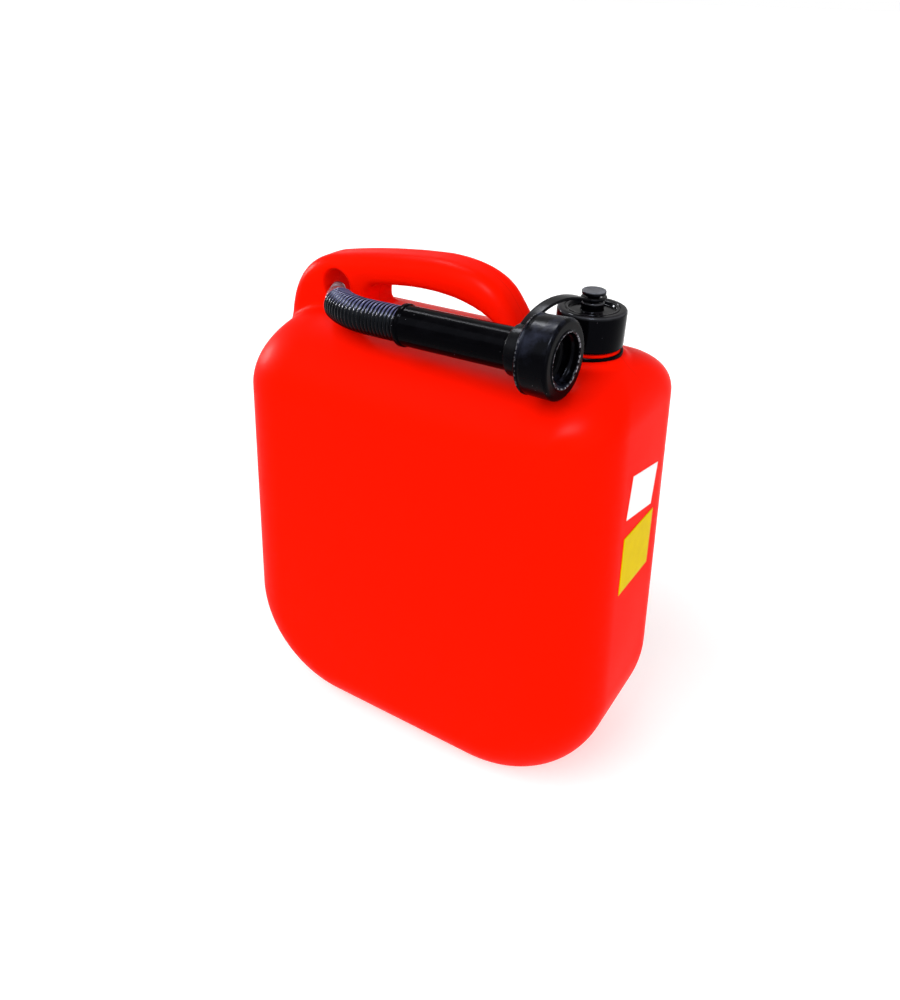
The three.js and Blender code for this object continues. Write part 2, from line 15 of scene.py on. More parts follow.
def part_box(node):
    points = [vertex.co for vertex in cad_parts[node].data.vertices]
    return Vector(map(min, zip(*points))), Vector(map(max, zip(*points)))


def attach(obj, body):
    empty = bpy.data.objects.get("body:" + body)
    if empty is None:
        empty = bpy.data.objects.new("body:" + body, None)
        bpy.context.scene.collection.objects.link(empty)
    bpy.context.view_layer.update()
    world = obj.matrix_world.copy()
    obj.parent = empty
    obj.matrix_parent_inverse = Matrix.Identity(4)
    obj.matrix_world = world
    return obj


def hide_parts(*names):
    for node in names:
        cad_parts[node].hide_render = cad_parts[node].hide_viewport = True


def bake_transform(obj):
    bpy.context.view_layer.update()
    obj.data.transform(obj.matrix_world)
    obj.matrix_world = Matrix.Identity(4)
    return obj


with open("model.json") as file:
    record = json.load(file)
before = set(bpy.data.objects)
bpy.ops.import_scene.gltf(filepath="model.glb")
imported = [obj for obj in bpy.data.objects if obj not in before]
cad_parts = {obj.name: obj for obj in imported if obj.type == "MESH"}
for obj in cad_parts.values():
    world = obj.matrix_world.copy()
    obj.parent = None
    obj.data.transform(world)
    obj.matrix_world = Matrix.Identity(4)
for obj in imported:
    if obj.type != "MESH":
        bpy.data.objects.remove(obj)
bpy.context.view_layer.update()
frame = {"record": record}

joints = {joint["name"]: joint for joint in frame["record"]["behaviour"]["joints"]}


def place_object(name, data):
    """An object for a mesh, lamp or camera, put in the scene."""
    placed = bpy.data.objects.new(name, data)
    bpy.context.collection.objects.link(placed)
    return placed


# %% [markdown]
# The camera stands where the photographer stood: in front, to the right and above. Its place can be guessed
# by eye or solved from corners of known shape. Here it was solved from the can's outline, so the turn, tilt
# and roll are written as angles, and the lens as the focal length that a 36 mm wide sensor would need.

# %% Camera
camera_turn = math.radians(31.5276)
camera_tilt = math.radians(31.6858)
camera_roll = math.radians(1.468)
camera_place = Vector((0.269978, -0.439889, 0.499950))
sensor_width = 36
focal_length = 30.252
can_middle = Vector((0, 0, 0.17))

back = Vector((
    math.sin(camera_turn) * math.cos(camera_tilt),
    -math.cos(camera_turn) * math.cos(camera_tilt),
    math.sin(camera_tilt),
))
level_right = Vector((math.cos(camera_turn), math.sin(camera_turn), 0))
level_up = back.cross(level_right)
right = level_right * math.cos(camera_roll) + level_up * math.sin(camera_roll)
up = level_up * math.cos(camera_roll) - level_right * math.sin(camera_roll)
camera_data = bpy.data.cameras.new("photo_camera")
camera_data.sensor_width = sensor_width
camera_data.lens = focal_length
camera_data.clip_start = 0.01
camera = place_object("photo_camera", camera_data)
camera.matrix_world = Matrix.Translation(camera_place) @ Matrix((right, up, back)).transposed().to_4x4()
bpy.context.scene.camera = camera
bpy.context.scene.view_settings.view_transform = "Standard"
print("camera", round((camera_place - can_middle).length, 3), "m from the middle of the can")

# %% [markdown]
# Every piece below is a grid of points. Two helpers turn such a grid into a mesh: one numbers the quads
# between neighbours, the other makes the object, welds its seam and poles, and says which body it rides on.
# Shapes are worked out in millimetres, which suit a can, and scaled to metres when the mesh is made.

# %% Grids and pieces
mm = 0.001
weld_distance = 1e-6


def grid_faces(rows, columns, round_rows=False, round_columns=False):
    """Quads between neighbours on a grid of points numbered row by row. A round way joins its last line
    to its first."""
    row = np.arange(rows if round_rows else rows - 1)[:, None]
    column = np.arange(columns if round_columns else columns - 1)[None, :]
    below = (row + 1) % rows * columns
    beside = (column + 1) % columns
    here = row * columns
    corners = np.broadcast_arrays(here + column, below + column, below + beside, here + beside)
    return np.stack(corners, axis=-1).reshape(-1, 4)


def make_mesh(name, points, faces, **values):
    """A welded mesh from points in millimetres, with a named number per point for each extra value."""
    mesh = bpy.data.meshes.new(name)
    mesh.from_pydata((points.reshape(-1, 3) * mm).tolist(), [], faces.tolist())
    for label, numbers in values.items():
        layer = mesh.attributes.new(label, "FLOAT", "POINT")
        layer.data.foreach_set("value", np.asarray(numbers, np.float32).ravel())
    welded = bmesh.new()
    welded.from_mesh(mesh)
    bmesh.ops.remove_doubles(welded, verts=welded.verts, dist=weld_distance)
    welded.to_mesh(mesh)
    welded.free()
    mesh.shade_smooth()
    return mesh


def add_piece(mesh, finish, nodes=(), body=None):
    """An object for the mesh, with its finish, the solids that it stands for and the body it rides on."""
    piece = place_object(mesh.name, mesh)
    mesh.materials.append(finish)
    if nodes:
        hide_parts(*nodes)
    if body:
        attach(piece, body)
    print(f"{mesh.name}: {len(mesh.vertices)} points, {len(mesh.polygons)} faces")
    return piece


def unit(vectors):
    """A vector, or each of a list of vectors, at a length of 1."""
    return vectors / np.linalg.norm(vectors, axis=-1, keepdims=True)


def joint_place(name):
    """A joint's place in millimetres."""
    return np.array(joints[name]["pos_m"]) / mm


def joint_axis(name):
    """A joint's axis, one unit long."""
    return unit(np.array(joints[name]["axis"]))


print(len(joints), "joints to place pieces by")

# %% [markdown]
# All the plastics share a few effects: the fine grain that a mould leaves, dust that settles on what faces
# up, and stray specks. On the hose and the nozzle the same upward film is painted sheen, the light that their
# tops catch. Each could be drawn into every material again. Built once as a node group with named
# sockets, it is placed in each material with its own values.

# %% Node helpers


def effect_group(name, inputs, output):
    """An empty shader node group with number inputs and one number output. Returns its tree and both ends."""
    tree = bpy.data.node_groups.new(name, "ShaderNodeTree")
    for label, value in inputs.items():
        tree.interface.new_socket(label, in_out="INPUT", socket_type="NodeSocketFloat").default_value = value
    tree.interface.new_socket(output, in_out="OUTPUT", socket_type="NodeSocketFloat")
    return tree, tree.nodes.new("NodeGroupInput"), tree.nodes.new("NodeGroupOutput")


def add_node(tree, kind, settings=None, **sockets):
    """A node of this kind with its settings. Each socket, its spaces as _, takes a value or a link."""
    node = tree.nodes.new("ShaderNode" + kind)
    for label, value in (settings or {}).items():
        setattr(node, label, value)
    for label, value in sockets.items():
        key = int(label[1:]) if label[1:].isdigit() else label.replace("_", " ")
        if isinstance(value, bpy.types.NodeSocket):
            tree.links.new(value, node.inputs[key])
        else:
            node.inputs[key].default_value = value
    return node


def ramp(tree, value, low, high, to_low=0.0, to_high=1.0):
    """The value carried from one range to another and held at its ends."""
    sockets = {"From_Min": low, "From_Max": high, "To_Min": to_low, "To_Max": to_high}
    return add_node(tree, "MapRange", Value=value, **sockets).outputs["Result"]


def times(tree, first, second):
    """The product of two numbers."""
    return add_node(tree, "Math", {"operation": "MULTIPLY"}, _0=first, _1=second).outputs[0]


print("node helpers:", effect_group.__name__, add_node.__name__, ramp.__name__, times.__name__)

# %% Shared effects
grain, entry, end = effect_group("mould grain", {"Fineness": 900.0, "Detail": 3.0}, "Height")
place = add_node(grain, "TexCoord").outputs["Object"]
fineness, detail = entry.outputs["Fineness"], entry.outputs["Detail"]
noise = add_node(grain, "TexNoise", Vector=place, Scale=fineness, Detail=detail)
grain.links.new(noise.outputs["Fac"], end.inputs["Height"])

# dust on what faces up; the hose and the nozzle use it as painted sheen
dust_and_sheen, entry, end = effect_group("settled dust", {"Patches": 60.0, "Bare": 0.45, "Full": 0.75}, "Dust and sheen")
place = add_node(dust_and_sheen, "TexCoord").outputs["Object"]
spread = entry.outputs["Patches"]
patches = add_node(dust_and_sheen, "TexNoise", Vector=place, Scale=spread, Detail=5.0, Roughness=0.65)
cover = ramp(dust_and_sheen, patches.outputs["Fac"], entry.outputs["Bare"], entry.outputs["Full"])
facing = add_node(dust_and_sheen, "SeparateXYZ", Vector=add_node(dust_and_sheen, "NewGeometry").outputs["Normal"]).outputs["Z"]
dust_and_sheen_mask = times(dust_and_sheen, cover, ramp(dust_and_sheen, facing, 0.05, 0.9))
dust_and_sheen.links.new(dust_and_sheen_mask, end.inputs["Dust and sheen"])

specks, entry, end = effect_group("stray specks", {"Spread": 420.0, "Size": 0.08, "Share": 0.6}, "Specks")
place = add_node(specks, "TexCoord").outputs["Object"]
cells = add_node(specks, "TexVoronoi", Vector=place, Scale=entry.outputs["Spread"])
chosen = add_node(specks, "TexNoise", Vector=place, Scale=70.0, Detail=2.0).outputs["Fac"]
middle, size = cells.outputs["Distance"], entry.outputs["Size"]
dots = add_node(specks, "Math", {"operation": "LESS_THAN"}, _0=middle, _1=size)
kept = add_node(specks, "Math", {"operation": "GREATER_THAN"}, _0=chosen, _1=entry.outputs["Share"])
specks.links.new(times(specks, dots.outputs[0], kept.outputs[0]), end.inputs["Specks"])

seam, entry, end = effect_group("mould seam", {"Half width": 0.0003}, "Seam")
place = add_node(seam, "SeparateXYZ", Vector=add_node(seam, "TexCoord").outputs["Object"]).outputs["Y"]
away = add_node(seam, "Math", {"operation": "ABSOLUTE"}, _0=place).outputs[0]
seam.links.new(ramp(seam, away, 0.0, entry.outputs["Half width"], 1.0, 0.0), end.inputs["Seam"])
print("effects:", ", ".join(group.name for group in (grain, dust_and_sheen, specks, seam)))

# %% [markdown]
# A finish is a Principled shader with its plain values on its own sockets and only what varies linked in.
# Each plastic below starts from the same helper, which makes the material and its grain bump, and then
# mixes in what is its own.

# %% Finish helpers
grain_height = 0.0004


def place_effect(tree, group, **sockets):
    """One of the shared effects, placed in a material's tree with its own values. Returns its output."""
    node = add_node(tree, "Group", {"node_tree": group}, **sockets)
    return node.outputs[0]


def plain_finish(name, **sockets):
    """A material with plain values on its shader's sockets. Returns material, tree and shader."""
    finish = bpy.data.materials.new(name)
    finish.use_nodes = True
    tree = finish.node_tree
    shader = tree.nodes["Principled BSDF"]
    for label, value in sockets.items():
        shader.inputs[label.replace("_", " ")].default_value = value
    return finish, tree, shader


def start_finish(name, grain_fineness, grain_strength, **sockets):
    """A plain finish with a bump from the mould grain. Returns material, tree and shader."""
    finish, tree, shader = plain_finish(name, **sockets)
    height = place_effect(tree, grain, Fineness=grain_fineness)
    bump = add_node(tree, "Bump", Strength=grain_strength, Distance=grain_height, Height=height)
    tree.links.new(bump.outputs["Normal"], shader.inputs["Normal"])
    return finish, tree, shader


def mix_colours(tree, share, first, second):
    """The first colour where the share is 0 and the second where it is 1. A mix node keeps its colours on
    sockets 6 and 7, and gives their mix on output 2."""
    return add_node(tree, "Mix", {"data_type": "RGBA"}, _0=share, _6=first, _7=second).outputs[2]


print("mould grain", grain_height / mm, "mm high at full strength")

# %% [markdown]
# The can is dyed polyethylene, a saturated red with a satin skin. Its two halves meet in a seam round the
# middle of its depth, which shows as a fine darker line over the handle and in the storage hole.

# %% Red polyethylene
red_finish, tree, shader = start_finish("red_polyethylene", 700.0, 0.05, Specular_IOR_Level=0.006)
cloud = place_effect(tree, grain, Fineness=14.0, Detail=2.0)
seam_line = place_effect(tree, seam)
red = mix_colours(tree, cloud, (0.98, 0.0065, 0.0, 1), (0.95, 0.006, 0.0, 1))
red = mix_colours(tree, times(tree, seam_line, 0.3), red, (0.25, 0.002, 0.001, 1))
tree.links.new(red, shader.inputs["Base Color"])
tree.links.new(ramp(tree, cloud, 0.3, 0.7, 0.3, 0.38), shader.inputs["Roughness"])
print("finish:", red_finish.name)

# %% [markdown]
# The cap, ring and spout tube are glossy black plastic. The strap is duller, its stud is grey with dust, and
# the nut lies under a bluish film. Some edges carry a painted highlight in pale dots where glints fall, and a
# number on the mesh says where. The nozzle's pinkish colour and film are painted reflection and painted
# sheen.
# One function makes them all, so that they differ only in colour, gloss, dust, painted sheen, specks and
# painted glints.

# %% Black plastics
cool_gleam = (0.72, 0.8, 1, 1)
# pale colour shared by the dust specks and the painted glints
pale_dust_and_glint = (0.55, 0.56, 0.62, 1)


def black_plastic(name, colour, roughness, gleam, dust_and_sheen_colour, dust_and_sheen_share, speck_share=0.1, bare=0.45, broken=0.46):
    """Dark moulded plastic: base colour, a film over what faces up, a few pale specks, painted glints on
    marked edges broken into dots where the grain rises over a share, and roughness that follows the film. The
    film is dust on most finishes and painted sheen on the nozzle's."""
    gloss = {"Specular_IOR_Level": gleam, "Specular_Tint": cool_gleam}
    finish, tree, shader = start_finish(name, 1100.0, 0.04, **gloss)
    # film of dust over what faces up, and on the nozzle painted sheen
    dust_and_sheen_cover = times(tree, place_effect(tree, dust_and_sheen, Bare=bare), dust_and_sheen_share)
    speckled = times(tree, place_effect(tree, specks), speck_share)
    # painted highlight: pale dots on the edges that the mesh marks, where glints fall
    worn = add_node(tree, "Attribute", {"attribute_name": "worn"}).outputs["Fac"]
    dots = ramp(tree, place_effect(tree, grain, Fineness=650.0), broken, broken + 0.2)
    painted_glint_dots = times(tree, worn, dots)
    base = mix_colours(tree, dust_and_sheen_cover, colour, dust_and_sheen_colour)
    base = mix_colours(tree, speckled, base, pale_dust_and_glint)
    base = mix_colours(tree, painted_glint_dots, base, pale_dust_and_glint)
    tree.links.new(base, shader.inputs["Base Color"])
    tree.links.new(ramp(tree, dust_and_sheen_cover, 0.0, 0.5, roughness, roughness + 0.3), shader.inputs["Roughness"])
    print("finish:", finish.name)
    return finish


jet = (0.0009, 0.0008, 0.0012, 1)
soft_black = (0.004, 0.004, 0.0045, 1)
# pinkish grey painted reflection of the red can, the nozzle's base colour
nozzle_painted_reflection = (0.13, 0.075, 0.085, 1)
grey_film = (0.04, 0.04, 0.05, 1)
cap_film = (0.06, 0.05, 0.06, 1)
blue_film = (0.035, 0.04, 0.07, 1)
# paler painted sheen on what faces up on the nozzle
nozzle_painted_sheen = (0.3, 0.2, 0.22, 1)
strap_film = (0.08, 0.08, 0.085, 1)
stud_film = (0.34, 0.35, 0.4, 1)
rubber_film = (0.02, 0.02, 0.02, 1)
black_finish = black_plastic("black_plastic", jet, 0.13, 0.012, grey_film, 0.1, speck_share=0.3)
cap_finish = black_plastic("cap_plastic", jet, 0.1, 0.03, cap_film, 0.25, broken=0.1)
nut_finish = black_plastic("dusty_black", jet, 0.22, 0.025, blue_film, 0.8, speck_share=0.3, bare=0.44)
# nozzle: painted reflection of the red can, with painted sheen where it faces up
nozzle_finish = black_plastic("nozzle_plastic", nozzle_painted_reflection, 0.14, 0.4, nozzle_painted_sheen, 0.5, bare=0.3)
strap_finish = black_plastic("strap_plastic", jet, 0.24, 0.03, strap_film, 0.2, bare=0.3)
stud_finish = black_plastic("stud_plastic", jet, 0.2, 0.05, stud_film, 0.7, bare=0.2)
rubber_finish = black_plastic("seal_rubber", soft_black, 0.6, 0.06, rubber_film, 0.3, speck_share=0.05)

# %% [markdown]
# The hose is soft black plastic. A bluish painted sheen, the light that its ridges catch, lies on them where
# they face up, and the grooves stay black, so its material reads a number that the mesh carries: 1 on a
# ridge,
# 0 in a groove.

# %% Hose plastic
hose_black = (0.0006, 0.0006, 0.0008, 1)
# bluish painted sheen on the ridges that face up
hose_painted_sheen = (0.1, 0.1, 0.22, 1)
hose_gloss = {"Specular_IOR_Level": 0.08, "Specular_Tint": cool_gleam}
hose_finish, tree, shader = start_finish("hose_plastic", 1300.0, 0.04, **hose_gloss)
crest = add_node(tree, "Attribute", {"attribute_name": "crest"}).outputs["Fac"]
# painted sheen: the ridges' tops where they face up, in patches
above = ramp(tree, place_effect(tree, dust_and_sheen, Patches=90.0, Bare=0.1, Full=0.45), 0.53, 0.95)
painted_sheen = times(tree, ramp(tree, crest, 0.6, 0.95), above)
base = mix_colours(tree, painted_sheen, hose_black, hose_painted_sheen)
tree.links.new(base, shader.inputs["Base Color"])
tree.links.new(ramp(tree, crest, 0.0, 1.0, 0.4, 0.18), shader.inputs["Roughness"])
print("finish:", hose_finish.name)

# %% [markdown]
# Two stickers lie on the narrow side, both blank here: white coated paper and yellow film. Paper has a soft
# fibre grain, film a faint ripple.

# %% Sticker finishes


def sticker_finish(name, colour, worn_colour, roughness, gleam, fineness, strength):
    """A thin blank sheet: its colour, clouded towards a worn colour, over a fine grain."""
    gloss = {"Roughness": roughness, "Specular_IOR_Level": gleam}
    finish, tree, shader = start_finish(name, fineness, strength, **gloss)
    cloud = ramp(tree, place_effect(tree, grain, Fineness=90.0), 0.4, 0.75)
    tree.links.new(mix_colours(tree, cloud, colour, worn_colour), shader.inputs["Base Color"])
    print("finish:", finish.name)
    return finish


white, worn_white = (0.94, 0.94, 0.94, 1), (0.89, 0.89, 0.88, 1)
yellow, worn_yellow = (0.75, 0.54, 0.0, 1), (0.71, 0.5, 0.0, 1)
white_finish = sticker_finish("white_paper", white, worn_white, 0.5, 0.4, 2600.0, 0.12)
yellow_finish = sticker_finish("yellow_film", yellow, worn_yellow, 0.38, 0.008, 300.0, 0.1)

# %% [markdown]
# The can's body is blow moulded: an oblong drum whose outline leans in towards the top, with round corners
# of four sizes and edges that fall away to the front and back. A grid of sections could give the drum, but
# not the handle, window and hole that flow into it with soft fillets. So the skin is described by a level:
# a number that is below zero inside the plastic and above zero outside. The outline comes first. It is the
# line that a band takes when it is drawn tight round four discs.

# %% Drum outline
base_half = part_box("can_body")[1].x / mm
half_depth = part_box("can_body")[1].y / mm
side_taper = 11.5
top_half = base_half - side_taper
neck_end_height = 317
handle_end_height = 314
neck_corner = 33
handle_corner = 54
base_corner = 86
corner_discs = np.array([
    [base_half - base_corner, base_corner, base_corner],
    [top_half - neck_corner, neck_end_height - neck_corner, neck_corner],
    [handle_corner - top_half, handle_end_height - handle_corner, handle_corner],
    [base_corner - base_half, base_corner, base_corner],
])
print("drum", 2 * base_half, "by", 2 * half_depth, "mm, outline round", len(corner_discs), "discs")

# %% Smooth joins


def smooth_least(first, second, reach):
    """The lesser of two levels, rounded where they come within the reach of each other."""
    share = np.clip(0.5 + 0.5 * (second - first) / reach, 0, 1)
    return second + (first - second) * share - reach * share * (1 - share)


def smooth_greatest(first, second, reach):
    """The greater of two levels, rounded where they come within the reach of each other."""
    return -smooth_least(-first, -second, reach)


print("two levels of 0, joined over a reach of 4:", smooth_least(0.0, 0.0, 4.0))

# %% Distance to the outline
far_away = 1e4
core_reach = 28
core_lift = math.sqrt(0.5)
core_growth = 1.5


def outline_distance(x, z):
    """Signed distance to the band round the four discs, and how far up its normal points, from -1 to 1.
    It is the greatest of the distances to the band's four straight runs and, within a disc's own arc, to
    that disc. Inside the small disc at the neck end, the side and the top blend over a growing reach, and
    round its middle the normal points half way up, so that it doesn't flip from one to the other there."""
    centres, radii = corner_discs[:, :2], corner_discs[:, 2]
    along = np.roll(centres, -1, axis=0) - centres
    length = np.linalg.norm(along, axis=1)
    along = along / length[:, None]
    lean = (radii - np.roll(radii, -1)) / length
    across = np.stack([along[:, 1], -along[:, 0]], axis=1)
    leaving = along * lean[:, None] + across * np.sqrt(1 - lean**2)[:, None]
    arriving = np.roll(leaving, 1, axis=0)
    runs = x[..., None] * leaving[:, 0] + z[..., None] * leaving[:, 1] - (centres * leaving).sum(1) - radii
    out_x, out_z = x[..., None] - centres[:, 0], z[..., None] - centres[:, 1]
    reach = np.hypot(out_x, out_z) + weld_distance
    after = arriving[:, 0] * out_z - arriving[:, 1] * out_x >= 0
    before = out_x * leaving[:, 1] - out_z * leaving[:, 0] >= 0
    arcs = np.where(after & before, reach - radii, -far_away)
    run_lifts = np.array(np.broadcast_to(leaving[:, 1], runs.shape))
    side, top = runs[..., 0], runs[..., 1]
    soft = core_growth * np.maximum(-np.maximum(side, top) - neck_corner, weld_distance)
    share = np.clip(0.5 + 0.5 * (top - side) / soft, 0, 1)
    blended = smooth_greatest(side, top, soft)
    blended_lift = leaving[0, 1] + (leaving[1, 1] - leaving[0, 1]) * share**2 * (3 - 2 * share)
    runs[..., 0], runs[..., 1] = blended, blended
    run_lifts[..., 0], run_lifts[..., 1] = blended_lift, blended_lift
    distances = np.concatenate([runs, arcs], axis=-1)
    lifts = np.concatenate([run_lifts, out_z / reach], axis=-1)
    nearest = distances.argmax(axis=-1)[..., None]
    distance = np.take_along_axis(distances, nearest, axis=-1)[..., 0]
    lift = np.take_along_axis(lifts, nearest, axis=-1)[..., 0]
    core = np.clip(reach[..., 1] / core_reach, 0, 1)
    return distance, core_lift + (lift - core_lift) * core**2 * (3 - 2 * core)


base_miss = outline_distance(np.zeros(1), np.zeros(1))[0][0]
print("middle of the base is", round(abs(float(base_miss)), 3), "mm from the outline")

# %% [markdown]
# From the outline the skin falls away towards the front and back. At the sides and base it starts to fall at
# the flat of the depth. The top is crowned instead: it falls from the middle line on, so that fingers find
# room behind the handle. A quarter ellipse gives each fall, and the way the outline faces picks which.

# %% Drum level
edge_radius = 44
top_drop = 50
base_rise = 42
flat_half = half_depth - edge_radius


def drum_level(x, y, z):
    """Below zero inside the drum. With i the share of the fall that a point lies inside the outline and d the
    share of the way out along the depth, the skin is where (1 - i) squared plus d squared is 1."""
    distance, lift = outline_distance(x, z)
    upward = np.maximum(lift, 0) ** 2
    downward = np.minimum(lift, 0) ** 2
    fall = edge_radius * (1 - upward - downward) + top_drop * upward + base_rise * downward
    flat = flat_half * (1 - upward)
    depth_share = np.maximum(np.abs(y) - flat, 0) / (half_depth - flat)
    return (np.hypot(np.maximum(1 + distance / fall, 0), depth_share) - 1) * fall


front_middle = np.array([[0.0, -half_depth, 150.0]])
print("level at the middle of the front face:", drum_level(*front_middle.T)[0])

# %% [markdown]
# The handle is a fin along the middle of the depth, moulded in one with the drum. Its outline is a few
# curves, each a start, an end and a pull that says where it turns. The window and the storage hole are cut
# through it. A smooth least and a smooth greatest join and cut the levels, and leave the round edges that
# a mould has.

# %% Curved outlines
curve_steps = 24


def curve(start, end, pull):
    """Quadratic curve from start to end that turns at the given share of the way along and up."""
    start, end = np.array(start, float), np.array(end, float)
    corner = start + (end - start) * pull
    t = np.linspace(0, 1, curve_steps + 1)[1:, None]
    return (1 - t) ** 2 * start + 2 * t * (1 - t) * corner + t**2 * end


def outline_of(start, *stretches):
    """A closed outline from a start and stretches, each an end and its curve's pull, None if straight."""
    corners = [np.array([start], float)]
    for end, pull in stretches:
        corners.append(np.array([end], float) if pull is None else curve(corners[-1][-1], end, pull))
    return np.concatenate(corners)


print("outline curves of", curve_steps, "steps")

# %% Handle and window outlines
handle_end, neck_end = -top_half, top_half
handle_left, handle_foot = handle_end + 7.5, neck_end - 77
handle_root = neck_end_height - 70
handle_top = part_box("can_body")[1].z / mm
handle_outline = outline_of(
    (handle_left, handle_root),
    ((handle_left, neck_end_height - 22), None),
    ((handle_left + 37, neck_end_height + 28), (0.12, 0.84)),
    ((handle_end + 127.5, handle_top), (0.5, 0.8)),
    ((neck_end - 96, neck_end_height + 24.5), (0.72, 0)),
    ((handle_foot, neck_end_height - 5), (0.5, 0.37)),
    ((handle_foot, handle_root), None),
)
window_left, window_right = handle_end + 76.5, neck_end - 97.5
window_sill = handle_end_height - 8
window_corner = neck_end_height + 16.5
window_corner_run = 11
window_outline = outline_of(
    (window_left, window_sill),
    ((window_left, window_corner - window_corner_run), None),
    ((window_left + window_corner_run, window_corner), (0.1, 0.9)),
    ((window_right, neck_end_height + 8), (0.67, -1.24)),
    ((window_right, window_sill), None),
)
print("handle outline of", len(handle_outline), "points, window of", len(window_outline))

# %% Handle level
fin_half = 17
fin_edge = 11
window_edge = 5
hole_edge = 2.5
openings = {opening["name"]: opening["box_m"] for opening in frame["record"]["physics"]["openings"]}
hole_x, _, hole_z = np.mean(openings["storage_hole_back"], axis=0) / mm
hole_radius = 10.8


def outline_level(x, z, corners):
    """Signed distance to a closed outline: the distance to its nearest edge, below zero where a line to one
    side crosses an odd number of edges."""
    flat_x, flat_z = x.ravel()[:, None], z.ravel()[:, None]
    start, run = corners, np.roll(corners, -1, axis=0) - corners
    away_x, away_z = flat_x - start[:, 0], flat_z - start[:, 1]
    share = np.clip((away_x * run[:, 0] + away_z * run[:, 1]) / (run**2).sum(1), 0, 1)
    distance = np.hypot(away_x - share * run[:, 0], away_z - share * run[:, 1]).min(axis=1)
    rise = np.where(run[:, 1] == 0, 1.0, run[:, 1])
    spans = (start[:, 1] > flat_z) != (start[:, 1] + run[:, 1] > flat_z)
    crossed = spans & (away_x < away_z * run[:, 0] / rise)
    inside = crossed.sum(axis=1) % 2 == 1
    return np.where(inside, -distance, distance).reshape(x.shape)


def round_edged(side, face, radius):
    """Level of a plate from its side and face levels, with its edges rounded by the radius."""
    side, face = side + radius, face + radius
    return np.minimum(np.maximum(side, face), 0) + np.hypot(np.maximum(side, 0), np.maximum(face, 0)) - radius


def handle_level(x, y, z):
    """Below zero inside the handle: the round-edged fin, less the window and the hole."""
    fin = round_edged(outline_level(x, z, handle_outline), np.abs(y) - fin_half, fin_edge)
    fin = smooth_greatest(fin, -outline_level(x, z, window_outline), window_edge)
    return smooth_greatest(fin, hole_radius - np.hypot(x - hole_x, z - hole_z), hole_edge)


print("handle", 2 * fin_half, "mm thick, with a hole", 2 * hole_radius, "mm across")

# %% [markdown]
# The neck stands on a low round pad, so that its ring lies flat on the crowned top. Drum, handle and pad are
# joined into one level.

# %% Whole skin
neck_x = joint_place("cap_turn")[0]
pad_radius = 22
pad_edge = 2
pad_depth = 24
root_fillet = 6
handle_reach = 30
handle_low = 235


def skin_level(x, y, z):
    """Below zero inside the can: drum, pad and handle joined with a fillet at their roots. Loose points come
    as plain lists, and of those only the ones near the handle ask for it. On the lattice x and z are shared
    by all of the depth, so there the handle's outline is quick to ask for everywhere."""
    level = drum_level(x, y, z)
    above_middle = np.abs(z - neck_end_height + pad_depth / 2)
    pad = round_edged(np.hypot(x - neck_x, y) - pad_radius, above_middle - pad_depth / 2, pad_edge)
    level = smooth_least(level, pad, root_fillet)
    near = (z > handle_low) & (np.abs(y) < fin_half + handle_reach)
    if level.ndim == 1:
        level[near] = smooth_least(level[near], handle_level(x[near], y[near], z[near]), root_fillet)
        return level
    return np.where(near, smooth_least(level, handle_level(x, y, z), root_fillet), level)


print("pad", 2 * pad_radius, "mm across at x", round(float(neck_x), 1))

# %% [markdown]
# To turn the level into a mesh, it is sampled on a lattice of cells. Each cell that the skin crosses gets one
# vertex, at the mean of the places where its edges cross zero, and each lattice edge that the skin crosses
# gets one quad between the four cells round it. Then every vertex is moved down the slope of the level until
# it lies on the skin, and the slope itself becomes the shading normal, so the skin is smooth at any zoom.

# %% Level to mesh
cell = 2.4
margin = 2.5 * cell


def level_surface(level):
    """Vertices, in cells, and quads of the zero surface of a sampled level: one vertex in each crossed cell
    and one quad across each crossed lattice edge, facing out."""
    inside = level < 0
    cells = tuple(n - 1 for n in level.shape)
    total, count = np.zeros(cells + (3,)), np.zeros(cells)
    crossings = []
    for axis in range(3):
        order = [axis, (axis + 1) % 3, (axis + 2) % 3]
        values, within = level.transpose(order), inside.transpose(order)
        crossed = within[:-1] != within[1:]
        step = np.where(crossed, values[:-1] / np.where(crossed, values[:-1] - values[1:], 1), 0)
        crossings.append((order, crossed, within[:-1]))
        summed, counted = total.transpose(order + [3]), count.transpose(order)
        where = np.indices(crossed.shape)
        for b, c in ((0, 0), (0, 1), (1, 0), (1, 1)):
            part = (slice(None), slice(b, crossed.shape[1] - 1 + b), slice(c, crossed.shape[2] - 1 + c))
            hit = crossed[part]
            counted += hit
            summed[..., order[0]] += hit * (where[0][part] + step[part])
            summed[..., order[1]] += hit * where[1][part]
            summed[..., order[2]] += hit * where[2][part]
    used = count > 0
    number = np.full(cells, -1)
    number[used] = np.arange(used.sum())
    quads = []
    for order, crossed, within in crossings:
        ids = number.transpose(order)
        round_edge = np.stack([ids[:, :-1, :-1], ids[:, 1:, :-1], ids[:, 1:, 1:], ids[:, :-1, 1:]], axis=-1)
        hit = crossed[:, 1:-1, 1:-1]
        loops, facing = round_edge[hit], within[:, 1:-1, 1:-1][hit]
        quads.append(np.where(facing[:, None], loops, loops[:, ::-1]))
    return total[used] / count[used][:, None], np.concatenate(quads)


print("cells of", cell, "mm")

# %% Slope and settling


def slope_of(level, points, feel=0.3):
    """Slope of a level at points, from its change over a small step to each side along each axis."""
    steps = np.eye(3) * feel
    return np.stack([(level(*(points + s).T) - level(*(points - s).T)) / (2 * feel) for s in steps], axis=1)


